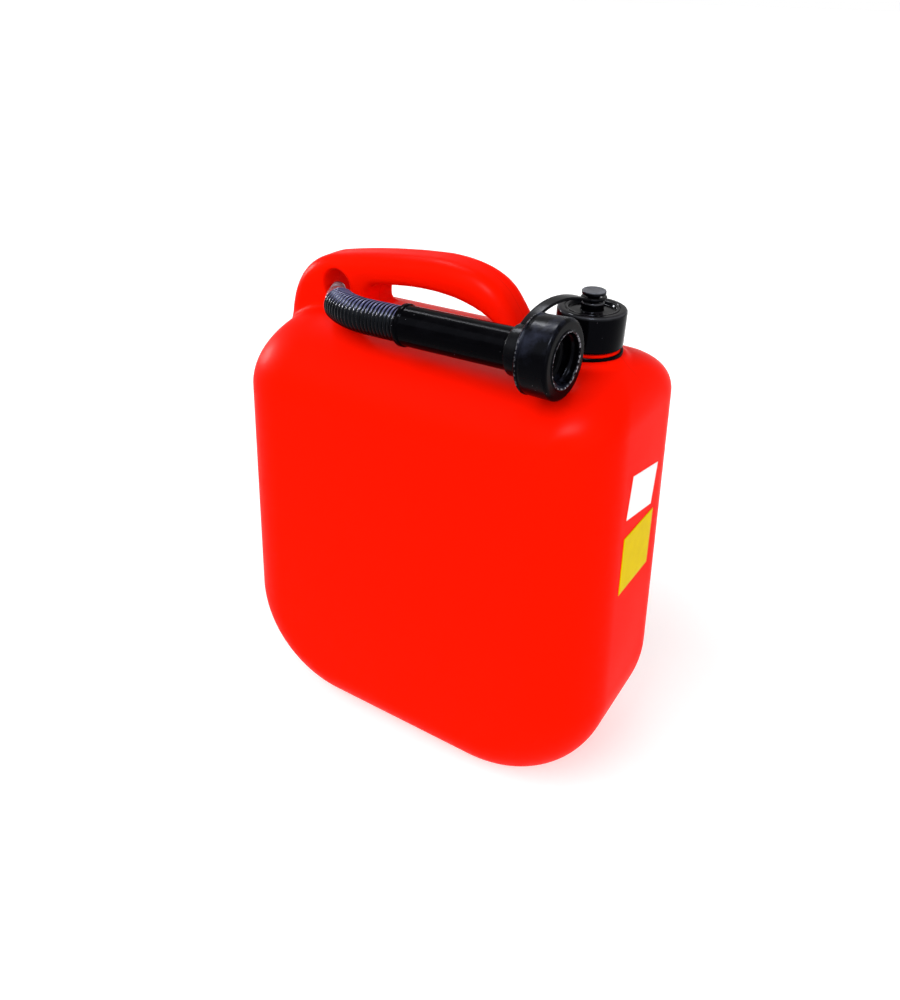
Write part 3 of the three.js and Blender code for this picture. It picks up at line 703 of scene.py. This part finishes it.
def settle(level, points, rounds=3, longest=2.0, least_slope=0.05):
    """Points moved on to the zero surface of a level: each round steps back along the slope by the level over
    the slope's length."""
    for _ in range(rounds):
        slope = slope_of(level, points)
        share = level(*points.T) / np.maximum((slope**2).sum(1), least_slope)
        step = slope * share[:, None]
        length = np.linalg.norm(step, axis=1, keepdims=True)
        points = points - step * np.minimum(1, longest / np.maximum(length, weld_distance))
    return points


print("slope at the middle of the front face:", slope_of(skin_level, front_middle)[0].round(3))

# %% Sample the skin
lowest = np.array(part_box("can_body")[0]) / mm - margin
highest = np.array(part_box("can_body")[1]) / mm + margin
axes = [np.arange(low, high + cell, cell) for low, high in zip(lowest, highest)]
lattice_x, lattice_y, lattice_z = np.meshgrid(*axes, indexing="ij", sparse=True)
flat_x, flat_z = np.broadcast_arrays(lattice_x, lattice_z)
samples = skin_level(flat_x, lattice_y, flat_z)
skin_points, skin_faces = level_surface(samples)
skin_points = settle(skin_level, lowest + cell * skin_points)
print("lattice", samples.shape, "gives", len(skin_points), "points; largest miss",
      round(float(np.abs(skin_level(*skin_points.T)).max()), 3), "mm")

# %% Can skin piece
skin_mesh = make_mesh("can_skin", skin_points, skin_faces)
normals = unit(slope_of(skin_level, skin_points))
if len(skin_mesh.vertices) == len(normals):
    skin_mesh.normals_split_custom_set_from_vertices(normals.tolist())
add_piece(skin_mesh, red_finish, ["can_body"], "can")

# %% [markdown]
# Most other pieces are turned: a profile of radius and height carried round an axis. A profile is a short
# list of corners, each with the length by which its point is rounded off. One function rounds the corners,
# one carries the profile round.

# %% Profiles
corner_steps = 5


def rounded(corners):
    """Profile points from corners of radius, height and rounding. Each corner becomes a short quadratic curve
    that leaves its two sides at the rounding's length."""
    corners = np.array(corners, float)
    points, reach = corners[:, :2], corners[:, 2:3]
    before = np.roll(points, 1, axis=0) - points
    after = np.roll(points, -1, axis=0) - points
    start = points + unit(before) * reach
    end = points + unit(after) * reach
    t = np.linspace(0, 1, corner_steps)[:, None, None]
    curves = (1 - t) ** 2 * start + 2 * t * (1 - t) * points + t**2 * end
    profile = curves.transpose(1, 0, 2).reshape(-1, 2)
    kept = np.linalg.norm(profile - np.roll(profile, 1, axis=0), axis=1) > weld_distance
    return profile[kept]


def spaced(profile, gap):
    """The closed profile with points added so that no two neighbours lie further apart than the gap."""
    run = np.linalg.norm(np.roll(profile, -1, axis=0) - profile, axis=1)
    along = np.concatenate([[0], np.cumsum(run)])
    closed = np.concatenate([profile, profile[:1]])
    even = np.arange(0, along[-1], gap)
    places = np.unique(np.concatenate([even, along[:-1]]))
    return np.stack([np.interp(places, along, closed[:, i]) for i in (0, 1)], axis=1)


def ring_corners(bore, radius, height, edge):
    """Corners of a plain ring's profile, its outer edges rounded more than its bore's."""
    return [(bore, 0, edge / 2), (radius, 0, edge), (radius, height, edge), (bore, height, edge / 2)]


print("each corner rounded with", corner_steps, "points")

# %% Turned pieces
round_steps = 96


def axis_frame(axis):
    """Three square unit directions, the last along the axis."""
    side = unit(np.cross([0, 1.0, 0] if abs(axis[1]) < 0.9 else [1.0, 0, 0], axis))
    return side, np.cross(axis, side), axis


def turned(profile, origin, axis, change=None):
    """Points of a profile carried round an axis: origin + r (cos a side + sin a other) + h axis. A change of
    angle and height may be added to the radius."""
    angle = np.linspace(0, 2 * np.pi, round_steps, endpoint=False)[:, None]
    radius, height = np.broadcast_arrays(profile[None, :, 0], profile[None, :, 1])
    radius = radius + (change(angle, radius, height) if change else 0 * angle)
    side, other, along = axis_frame(np.array(axis, float))
    spoke = np.cos(angle)[..., None] * side + np.sin(angle)[..., None] * other
    points = np.array(origin) + radius[..., None] * spoke + height[0][None, :, None] * along
    return points, grid_faces(round_steps, profile.shape[0], round_rows=True, round_columns=True)


def turned_mesh(name, corners, origin, axis, gap=None, change=None, worn=()):
    """A welded mesh of a turned profile of rounded corners. Each painted glint is a radius, a height, a reach
    and a strength, and marks the profile's points within that reach for a painted highlight."""
    profile = rounded(corners)
    profile = spaced(profile, gap) if gap else profile
    points, faces = turned(profile, origin, axis, change)
    marks = np.zeros(len(profile))
    for radius, height, reach, strength in worn:
        away = np.hypot(profile[:, 0] - radius, profile[:, 1] - height)
        marks = np.maximum(marks, strength * np.clip(1 - away / reach, 0, 1))
    return make_mesh(name, points, faces, worn=np.broadcast_to(marks, points.shape[:2]))


print("turned pieces have", round_steps, "steps round")

# %% [markdown]
# The neck is red like the can: a wide collar, a slimmer threaded tube and a bore. The thread could be a strip
# wound round the tube. Here it is a height added to the tube's radius, as a function of angle and height,
# so neck and thread are one closed skin.

# %% Neck with its thread
thread_pitch = 5
thread_depth = 1.5
thread_root = 2.5
thread_crest = 1.4
neck_turns = 1.6
neck_thread_start = neck_end_height + 9.5
neck_root_radius = 12.6
neck_bore_radius = 10.4
neck_top = neck_end_height + 19
collar_radius = 18.8
collar_top = neck_end_height + 4.2
bore_depth = 34
neck_floor = neck_top - bore_depth
floor_thickness = 4
thread_fade = 0.1
thread_gap = 0.45
same_radius = 0.01
upright = np.array([0, 0, 1.0])


def thread_height(angle, height, start, turns):
    """Share of the thread's depth at an angle and height: a flat-topped ridge about a line that climbs one
    pitch a turn, fading in and out at its ends."""
    share = angle / (2 * np.pi)
    ridge = np.zeros(np.broadcast(angle, height).shape)
    for lap in range(math.ceil(turns)):
        climbed = share + lap
        off = np.abs(height - start - thread_pitch * climbed)
        flank = np.clip((thread_root / 2 - off) / ((thread_root - thread_crest) / 2), 0, 1)
        fade = np.clip(climbed / thread_fade, 0, 1) * np.clip((turns - climbed) / thread_fade, 0, 1)
        ridge = np.maximum(ridge, flank * fade)
    return ridge


def neck_change(angle, radius, height):
    """The thread stands out from the neck's own outside only."""
    outside = np.abs(radius - neck_root_radius) < same_radius
    return outside * thread_depth * thread_height(angle, height, neck_thread_start, neck_turns)


neck_corners = [
    (0, neck_floor - floor_thickness, 0),
    (collar_radius, neck_floor - floor_thickness, 0),
    (collar_radius, collar_top, 0.8),
    (neck_root_radius, collar_top, 0.8),
    (neck_root_radius, neck_top, 0.7),
    (neck_bore_radius, neck_top, 0.7),
    (neck_bore_radius, neck_floor, 0),
    (0, neck_floor, 0),
]
neck_mesh = turned_mesh("neck", neck_corners, (neck_x, 0, 0), upright, thread_gap, neck_change)
add_piece(neck_mesh, red_finish, body="can")

# %% [markdown]
# A thin black ring lies round the collar. Above it comes the cap: a smooth drum with a recessed top, a fine
# groove round its rim and a boss in the middle that carries the stud of the strap.

# %% Neck ring
neck_ring_low = neck_end_height + 0.3
neck_ring_corners = ring_corners(bore=19.1, radius=20.6, height=2.4, edge=0.6)
neck_ring_mesh = turned_mesh("neck_ring_round", neck_ring_corners, (neck_x, 0, neck_ring_low), upright)
add_piece(neck_ring_mesh, black_finish, ["neck_ring"], "can")

# %% Cap
cap_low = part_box("screw_cap")[0].z / mm
cap_radius = 20.2
cap_bore = 14.6
cap_inside = 16.5
cap_rim = 21.5
cap_floor = 19.6
groove_radius = 16.2
groove_width = 0.8
groove_depth = 0.5
groove_slope = 0.2
recess_radius = 13.9
recess_slope = 0.7
boss_radius = 6.5
boss_top = 24.8
stud_hole = 3.9
cap_corners = [
    (stud_hole, cap_inside, 0),
    (cap_bore, cap_inside, 0.4),
    (cap_bore, 0, 0.5),
    (cap_radius, 0, 0.9),
    (cap_radius, cap_rim, 2),
    (groove_radius, cap_rim, 0.15),
    (groove_radius - groove_slope, cap_rim - groove_depth, 0.15),
    (groove_radius - groove_width + groove_slope, cap_rim - groove_depth, 0.15),
    (groove_radius - groove_width, cap_rim, 0.3),
    (recess_radius, cap_rim, 0.7),
    (recess_radius - recess_slope, cap_floor, 0.6),
    (boss_radius, cap_floor, 0.9),
    (boss_radius, boss_top, 1.0),
    (stud_hole, boss_top, 0.2),
]
# painted highlights: a pale line round the rim's upper edge and glints round the boss's edge
cap_worn = [(cap_radius - 0.6, cap_rim - 0.6, 0.9, 0.08), (boss_radius - 0.4, boss_top - 0.4, 0.7, 0.16)]
cap_mesh = turned_mesh("screw_cap_turned", cap_corners, (neck_x, 0, cap_low), upright, worn=cap_worn)
add_piece(cap_mesh, cap_finish, ["screw_cap"], "cap")

# %% Seal and stud
seal_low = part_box("cap_seal")[0].z / mm
seal_radius = 14.2
seal_thickness = 2
seal_corners = [(0, 0, 0), (seal_radius, 0, 0.5), (seal_radius, seal_thickness, 0.5), (0, seal_thickness, 0)]
seal_mesh = turned_mesh("cap_seal_disc", seal_corners, (neck_x, 0, seal_low), upright)
add_piece(seal_mesh, rubber_finish, ["cap_seal"], "cap_lifter")

stud_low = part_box("strap_rivet")[0].z / mm
shank_radius = 3.6
shank_length = 9
head_radius = 7
head_top = 11.4
dish_radius = 5.2
dish_depth = 0.2
stud_corners = [
    (0, 0, 0),
    (shank_radius, 0, 0.5),
    (shank_radius, shank_length, 0.3),
    (head_radius, shank_length, 0.7),
    (head_radius, head_top, 0.9),
    (dish_radius, head_top, 0.1),
    (dish_radius - dish_depth, head_top - dish_depth, 0.1),
    (0, head_top - dish_depth, 0),
]
stud_mesh = turned_mesh("strap_stud", stud_corners, (neck_x, 0, stud_low), upright)
add_piece(stud_mesh, stud_finish, ["strap_rivet"], "cap")

# %% [markdown]
# The spout is stored along the front of the handle. Its tube, nut and gasket share one axis, which the nut's
# joint gives. The nut has a thin bead at its rear, a rounded front edge, a raised lip round its mouth and a
# thread inside.

# %% Tube
tube_axis = joint_axis("nut_turn")
nut_rear = joint_place("nut_turn")
nut_rear_wall = 5
tube_length = 96
tube_bore = 9.6
tube_radius = 12
tube_lip_radius = 12.8
tube_lip_length = 3
flange_radius = 14.2
flange_thickness = 2.5
flange_gap = 0.4
flange_start = tube_length - flange_thickness
tube_start = nut_rear + tube_axis * (nut_rear_wall + flange_gap - flange_start)
tube_corners = [
    (tube_bore, 0, 0.4),
    (tube_lip_radius, 0, 0.7),
    (tube_lip_radius, tube_lip_length, 0.6),
    (tube_radius, tube_lip_length + tube_lip_radius - tube_radius, 0.4),
    (tube_radius, flange_start, 0.2),
    (flange_radius, flange_start, 0.3),
    (flange_radius, tube_length, 0.3),
    (tube_bore, tube_length, 0.3),
]
tube_mesh = turned_mesh("spout_tube_turned", tube_corners, tube_start, tube_axis)
add_piece(tube_mesh, black_finish, ["spout_tube"], "tube")

# %% Nut and gasket
nut_length = 20
nut_radius = 22.4
nut_bore = 12.4
nut_turns = 1
socket_radius = 14.6
bead_width = 1.8
bead_crown = 0.3
bead_groove = 0.7
groove_run = 0.5
shoulder_run = 1.4
shoulder_depth = 0.4
front_run = 1.8
front_depth = 1.6
lip_foot = 2
lip_width = 1.3
mouth_rise = 0.6
mouth_edge = 0.8


def nut_change(angle, radius, height):
    """The thread stands in from the nut's socket only."""
    inside = np.abs(radius - socket_radius) < same_radius
    start = nut_length - thread_pitch * nut_turns - thread_root / 2
    return np.where(inside, -thread_depth, 0) * thread_height(angle, height, start, nut_turns)


nut_corners = [
    (nut_bore, 0, 0.3),
    (nut_radius - bead_crown, 0, 0.6),
    (nut_radius, bead_width / 2, 0.5),
    (nut_radius - bead_crown, bead_width, 0.4),
    (nut_radius - bead_groove, bead_width + groove_run, 0.3),
    (nut_radius - shoulder_depth, bead_width + shoulder_run, 0.5),
    (nut_radius, nut_length - front_run, 1),
    (nut_radius - front_depth, nut_length - mouth_rise, 1),
    (socket_radius + lip_foot, nut_length - mouth_rise, 0.3),
    (socket_radius + lip_width, nut_length, 0.3),
    (socket_radius + mouth_rise, nut_length, 0.3),
    (socket_radius, nut_length - mouth_edge, 0.3),
    (socket_radius, nut_rear_wall, 0.4),
    (nut_bore, nut_rear_wall, 0.3),
]
# painted highlights: glints on the rear bead and a dotted ring of glints round the mouth's lip
nut_worn = [(nut_radius, bead_width / 2, 0.7, 0.25), (socket_radius + mouth_rise, nut_length, 0.8, 0.8)]
nut_mesh = turned_mesh("spout_nut_turned", nut_corners, nut_rear, tube_axis, thread_gap, nut_change, nut_worn)
add_piece(nut_mesh, nut_finish, ["spout_nut"], "nut")

gasket_gap = 0.3
gasket_low = tube_start + tube_axis * (tube_length + gasket_gap)
gasket_corners = ring_corners(bore=10.6, radius=flange_radius, height=2, edge=0.4)
gasket_mesh = turned_mesh("nut_gasket_ring", gasket_corners, gasket_low, tube_axis)
add_piece(gasket_mesh, rubber_finish, ["nut_gasket"], "tube")

# %% [markdown]
# The hose is a corrugated tube that leaves the nozzle, bends in an even arc and runs straight into the tube.
# Six hinges stand for its bending. The arc's middle, radius and turn are found from those hinges: they lie
# just outside the arc, and the arc touches the middle of each line between two of them.

# %% The bend, from its hinges
bend_count = 6
hinges = np.array([joint_place(f"hose_bend_{i}") for i in range(1, bend_count + 1)])
bend_normal = joint_axis("hose_bend_1")
lines = np.diff(hinges, axis=0)
headings = unit(lines)
bend_step = math.acos(np.clip(headings[0] @ headings[1], -1, 1))
bend_radius = np.linalg.norm(lines[0]) / (2 * math.tan(bend_step / 2))
inward = unit(headings[1] - headings[0])
inward = unit(inward - headings[0] * (inward @ headings[0]))
first_middle = (hinges[0] + hinges[1]) / 2
bend_middle = first_middle + inward * bend_radius


def bend_frame(steps):
    """Way out of the bend and heading along it, so many hinge steps from the nozzle's end."""
    turn = (np.asarray(steps, float) - 1)[..., None] * bend_step
    out = np.sin(turn) * headings[0] - np.cos(turn) * inward
    return out, np.cos(turn) * headings[0] + np.sin(turn) * inward


def bend_place(steps):
    """Point on the bend's middle line, so many hinge steps from the nozzle's end."""
    return bend_middle + bend_radius * bend_frame(steps)[0]


print("bend radius", round(bend_radius, 2), "mm,", round(math.degrees(bend_step), 2), "degrees a hinge")

# %% [markdown]
# The corrugation is a profile carried along that path: round ridges outside, a plain bore inside. The first
# two steps are the smooth taper that widens from the nozzle to the first ridge. Each piece reaches from the
# middle of one stiff ring to the middle of the next, and meets its neighbour.
# The straight run that enters the tube doesn't bend, and rides on the tube.

# %% Ridged hose
hose_radius = 10.8
hose_bore = 8.4
ridge_depth = 1.5
ridges_per_step = 3
ridge_samples = 12
hose_round_steps = 64
ridge_power = 0.7
straight_length = 26
straight_gap = 0.3
smooth_count = 2
taper_samples = 8
taper_radius = 9.2
nozzle_radius = 6.6
nozzle_bore = 3.2
ridge_pitch = bend_radius * bend_step / ridges_per_step


def hose_profile(length, ridges):
    """Closed loop of distance along, radius and crest: round-topped ridges along the outside, each a sine's
    half wave raised to a power, then straight back along the bore."""
    share = np.linspace(0, 1, ridges * ridge_samples + 1)
    crest = np.abs(np.sin(np.pi * ridges * share)) ** ridge_power
    outside = np.stack([share * length, hose_radius - ridge_depth * (1 - crest), crest], axis=1)
    back_along = np.linspace(1, 0, ridges + 1)
    inside = np.stack([back_along * length, np.full(ridges + 1, hose_bore), np.zeros(ridges + 1)], axis=1)
    return np.concatenate([outside, inside])


def taper_profile(step):
    """Closed loop of distance along, radius and crest for one smooth step: a straight taper that widens from
    the nozzle's end to the first ridge, then straight back along the bore."""
    share = np.linspace(0, 1, taper_samples)
    radius = nozzle_radius + (taper_radius - nozzle_radius) * (step + share) / smooth_count
    outside = np.stack([share, radius, 0 * share], axis=1)
    inside = np.stack([share[::-1], np.full(taper_samples, nozzle_bore), 0 * share], axis=1)
    return np.concatenate([outside, inside])


def hose_mesh(name, places, outs, profile):
    """Mesh of the closed profile carried along places: place + radius (cos a out - sin a bend normal)."""
    angle = np.linspace(0, 2 * np.pi, hose_round_steps, endpoint=False)[:, None, None]
    spoke = np.cos(angle) * outs - np.sin(angle) * bend_normal
    points = places + profile[:, 1][:, None] * spoke
    faces = grid_faces(hose_round_steps, len(profile), round_rows=True, round_columns=True)
    return make_mesh(name, points, faces, crest=np.broadcast_to(profile[:, 2], points.shape[:2]))


for i in range(bend_count):
    smooth = i < smooth_count
    profile = taper_profile(i) if smooth else hose_profile(1, ridges_per_step)
    steps = i + profile[:, 0]
    mesh = hose_mesh(f"hose_bend_{i + 1}", bend_place(steps), bend_frame(steps)[0], profile)
    nodes = [f"hose_ring_{i + 1}"] if i + 1 < bend_count else []
    piece = add_piece(mesh, nozzle_finish if smooth else hose_finish, nodes)
    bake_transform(piece)

straight_profile = hose_profile(straight_length - straight_gap, round(straight_length / ridge_pitch))
straight_places = bend_place(bend_count) + straight_profile[:, :1] * tube_axis
straight_outs = np.broadcast_to(bend_frame(bend_count)[0], straight_places.shape)
straight_mesh = hose_mesh("hose_straight_run", straight_places, straight_outs, straight_profile)
add_piece(straight_mesh, hose_finish, ["hose_straight"], "tube")

# %% [markdown]
# The nozzle is the spout's tip, a smooth taper of glossy plastic that the hose grows from. Its pinkish grey
# colour is painted reflection of the red can, lighter with painted sheen where it faces up. It leans in the
# storage hole, along the heading at the nozzle's end of the bend.

# %% Nozzle
nozzle_length = 19
tip_radius = 4.6
nozzle_corners = [
    (nozzle_bore, 0, 0.4),
    (tip_radius, 0, 0.8),
    (nozzle_radius, nozzle_length, 0),
    (nozzle_bore, nozzle_length, 0),
]
nozzle_heading = bend_frame(0)[1]
nozzle_tip = bend_place(0) - nozzle_heading * nozzle_length
nozzle_mesh = turned_mesh("spout_nozzle_turned", nozzle_corners, nozzle_tip, nozzle_heading)
add_piece(nozzle_mesh, nozzle_finish, ["spout_nozzle"], "nozzle")

# %% [markdown]
# A flat strap ties the cap to the spout. An eye sits on the cap's stud, a ring slips over the tube, and a
# strip arches between them. The strip is a rounded rectangle carried along a curve that two pulls lift, with
# its flat side kept up. Eye and ring are turned, and the eye's hole is drawn out to a slot with room above
# and below, so that the eye can tilt and slide on the stud as the cap rises.

# %% Strap sizes
strap_width = 7
strap_thickness = 1.8
strap_rise = 7.2
strap_steps = 48
strap_pull_shares = (0.35, 0.72)
eye_radius = 7.2
eye_bore = 4.4
eye_thickness = 1.4
eye_room = 1.45
eye_slot = 2.7
eye_end = 1.5
eye_low = stud_low + shank_length - eye_room - eye_thickness
ring_bore = 12.4
ring_wall = 2
ring_width = 7
strap_start_radius = 6.8
landing_angle = 1.4
ring_start = joint_place("strap_swing")
print("strap ring", 2 * (ring_bore + ring_wall), "mm across, eye", 2 * eye_radius, "mm")

# %% Strap strip


def strip_section(width, thickness, edge=0.5):
    """Closed section of a strip: a rectangle with its four corners rounded off."""
    quarters = [(-1, -1), (1, -1), (1, 1), (-1, 1)]
    return rounded([(up * thickness / 2, aside * width / 2, edge) for up, aside in quarters])


ring_up = unit(np.cross(np.cross(tube_axis, upright), tube_axis))
ring_aside = np.cross(ring_up, tube_axis)
landing = ring_bore + ring_wall / 2
strap_end = ring_start + tube_axis * ring_width / 2
strap_end = strap_end + landing * (math.sin(landing_angle) * ring_up + math.cos(landing_angle) * ring_aside)
eye_middle = np.array([neck_x, 0, eye_low + eye_thickness / 2])
level_way = (strap_end - eye_middle) * [1, 1, 0]
strap_begin = eye_middle + unit(level_way) * strap_start_radius
pull_height = strap_begin[2] + strap_rise
rising, falling = [strap_begin + share * (strap_end - strap_begin) for share in strap_pull_shares]
rising[2] = falling[2] = pull_height
t = np.linspace(0, 1, strap_steps)[:, None]
strip_path = ((1 - t) ** 3 * strap_begin + 3 * t * (1 - t) ** 2 * rising
              + 3 * t**2 * (1 - t) * falling + t**3 * strap_end)
strip_heading = unit(np.gradient(strip_path, axis=0))
strip_side = unit(np.cross(strip_heading, upright))
strip_up = np.cross(strip_side, strip_heading)
section = strip_section(strap_width, strap_thickness)
strip_points = (strip_path[:, None] + section[None, :, :1] * strip_up[:, None]
                + section[None, :, 1:] * strip_side[:, None])
tips = np.stack([strip_points[0].mean(0), strip_points[-1].mean(0)])
strip_points = np.concatenate([
    np.broadcast_to(tips[0], (1,) + strip_points.shape[1:]),
    strip_points,
    np.broadcast_to(tips[1], (1,) + strip_points.shape[1:]),
])
strip = strip_points, grid_faces(strap_steps + 2, len(section), round_columns=True)
print("strip of", strap_steps, "sections with", len(section), "points each")

# %% Strap eye and ring


def joined(parts):
    """Points and faces of several closed surfaces, numbered as one mesh."""
    points = [part.reshape(-1, 3) for part, _ in parts]
    starts = np.cumsum([0] + [len(p) for p in points[:-1]])
    return np.concatenate(points), np.concatenate([faces + start for (_, faces), start in zip(parts, starts)])


eye_profile = rounded(ring_corners(eye_bore, eye_radius, eye_thickness, 0.5))
ring_profile = rounded(ring_corners(ring_bore, ring_bore + ring_wall, ring_width, 0.6))
eye_points, eye_faces = turned(eye_profile, (neck_x, 0, eye_low), upright)
far_side = eye_points[..., 1] > 0
at_bore = np.hypot(eye_points[..., 0] - neck_x, eye_points[..., 1]) < (eye_bore + eye_radius) / 2
eye_points[..., 1] += far_side * np.where(at_bore, eye_slot, eye_end)
ring = turned(ring_profile, ring_start, tube_axis)
strap_mesh = make_mesh("tether_strap_strip", *joined([(eye_points, eye_faces), strip, ring]))
add_piece(strap_mesh, strap_finish, ["tether_strap"], "strap")

# %% [markdown]
# The stickers follow the narrow side, which leans in and rounds away. A flat card would cut into it, so each
# sticker is a grid of depth and height, and each point is moved along X until it meets the skin's level.

# %% Stickers
sticker_thickness = 0.25
sticker_lift = 0.1
sticker_steps = 24
sticker_rounds = 6
level_feel = 0.2


def sticker_mesh(name, width, height, middle_y, middle_z, turn):
    """A thin closed sheet on the narrow side. Its grid runs over width and height, turned in the side's
    plane, and x comes from stepping along X by the level over its slope until the level is zero."""
    across, along = np.meshgrid(np.linspace(-0.5, 0.5, sticker_steps) * width,
                                np.linspace(-0.5, 0.5, sticker_steps) * height, indexing="ij")
    y = (middle_y + across * math.cos(turn) - along * math.sin(turn)).ravel()
    z = (middle_z + across * math.sin(turn) + along * math.cos(turn)).ravel()
    x = np.full(y.shape, float(base_half))
    for _ in range(sticker_rounds):
        slope = (skin_level(x + level_feel, y, z) - skin_level(x - level_feel, y, z)) / (2 * level_feel)
        x = x - skin_level(x, y, z) / slope
    sheet = np.stack([x, y, z], axis=1)
    out = unit(slope_of(skin_level, sheet))
    layers = np.stack([sheet + out * sticker_lift, sheet + out * (sticker_lift + sticker_thickness)])
    number = np.arange(layers.shape[0] * layers.shape[1]).reshape(2, sticker_steps, sticker_steps)
    front = grid_faces(sticker_steps, sticker_steps) + sticker_steps**2
    sides = [number[:, :-1, 0], number[:, -1, :-1], number[:, :0:-1, -1], number[:, 0, :0:-1]]
    rim = np.concatenate(sides, axis=1)
    ahead = np.roll(rim, -1, axis=1)
    edges = np.stack([rim[0], ahead[0], ahead[1], rim[1]], axis=-1)
    return make_mesh(name, layers, np.concatenate([front, front[:, ::-1] - sticker_steps**2, edges]))


white_mesh = sticker_mesh("white_sticker", width=43, height=28, middle_y=0, middle_z=236.5, turn=-0.21)
yellow_mesh = sticker_mesh("yellow_sticker", width=48.5, height=41, middle_y=-1.5, middle_z=193, turn=-0.045)
add_piece(white_mesh, white_finish, ["white_label"], "can")
add_piece(yellow_mesh, yellow_finish, ["yellow_label"], "can")

# %% [markdown]
# The can stands on a white floor in strong, soft light. Two broad suns and an even sky light it from all
# round, so a colour renders a little brighter than it is written. Three small suns only show in glossy
# finishes, as the bright lamps of a studio would. The camera and every gloss see the sky as white, and a
# little of the floor's white is its own, so that the floor runs into the background and still takes the
# can's shadow.

# %% Floor
floor_half = 30
floor_glow = 0.35


def shows_background(tree):
    """1 for a ray that the camera sees by, directly, in a gloss or through something clear, and 0 for the
    rest."""
    path = add_node(tree, "LightPath").outputs
    seen = [path[f"Is {kind} Ray"] for kind in ("Camera", "Glossy", "Transmission")]
    either = add_node(tree, "Math", {"operation": "MAXIMUM"}, _0=seen[0], _1=seen[1]).outputs[0]
    return add_node(tree, "Math", {"operation": "MAXIMUM"}, _0=either, _1=seen[2]).outputs[0]


floor_mesh = bpy.data.meshes.new("floor")
floor_corners = [(x * floor_half, y * floor_half, 0) for x, y in ((-1, -1), (1, -1), (1, 1), (-1, 1))]
floor_mesh.from_pydata(floor_corners, [], [(0, 1, 2, 3)])
floor = place_object("floor", floor_mesh)
print("floor", 2 * floor_half, "m wide")

# %% Floor finish
floor_white = {"Base_Color": (0.9, 0.9, 0.9, 1), "Emission_Color": (1, 1, 1, 1)}
floor_gloss = {"Roughness": 0.9, "Specular_IOR_Level": 0.0}
floor_finish, tree, shader = plain_finish("floor_white", **floor_white, **floor_gloss)
tree.links.new(times(tree, shows_background(tree), floor_glow), shader.inputs["Emission Strength"])
floor_mesh.materials.append(floor_finish)
print("finish:", floor_finish.name)

# %% Sky
sky_light = 0.48
sky_seen = 1.0
world = bpy.data.worlds.new("studio_sky")
bpy.context.scene.world = world
world.use_nodes = True
tree = world.node_tree
sky = tree.nodes["Background"]
sky.inputs["Color"].default_value = (1, 1, 1, 1)
tree.links.new(ramp(tree, shows_background(tree), 0.0, 1.0, sky_light, sky_seen), sky.inputs["Strength"])
print("sky:", world.name)

# %% Suns


def add_sun(name, aim_from, strength, spread, only_gleams=False):
    """A sun that shines from a point towards the origin. One that only gleams is seen in glossy finishes but
    lights nothing else."""
    lamp = bpy.data.lights.new(name, "SUN")
    lamp.energy = strength
    lamp.angle = math.radians(spread)
    sun = place_object(name, lamp)
    sun.rotation_euler = (-Vector(aim_from)).to_track_quat("-Z", "Y").to_euler()
    sun.visible_diffuse = not only_gleams


add_sun("key", (-0.55, -1.15, 1.2), 1.8, 50)
add_sun("fill", (1.2, -0.6, 0.5), 1.6, 60)
add_sun("front_gleam", (0.2, -0.45, 0.87), 14.0, 16, only_gleams=True)
add_sun("left_gleam", (-0.985, 0.12, 0.157), 3.2, 10, only_gleams=True)
add_sun("back_gleam", (-0.45, 0.35, 0.8), 3.4, 14, only_gleams=True)
print("suns:", ", ".join(lamp.name for lamp in bpy.data.lights))
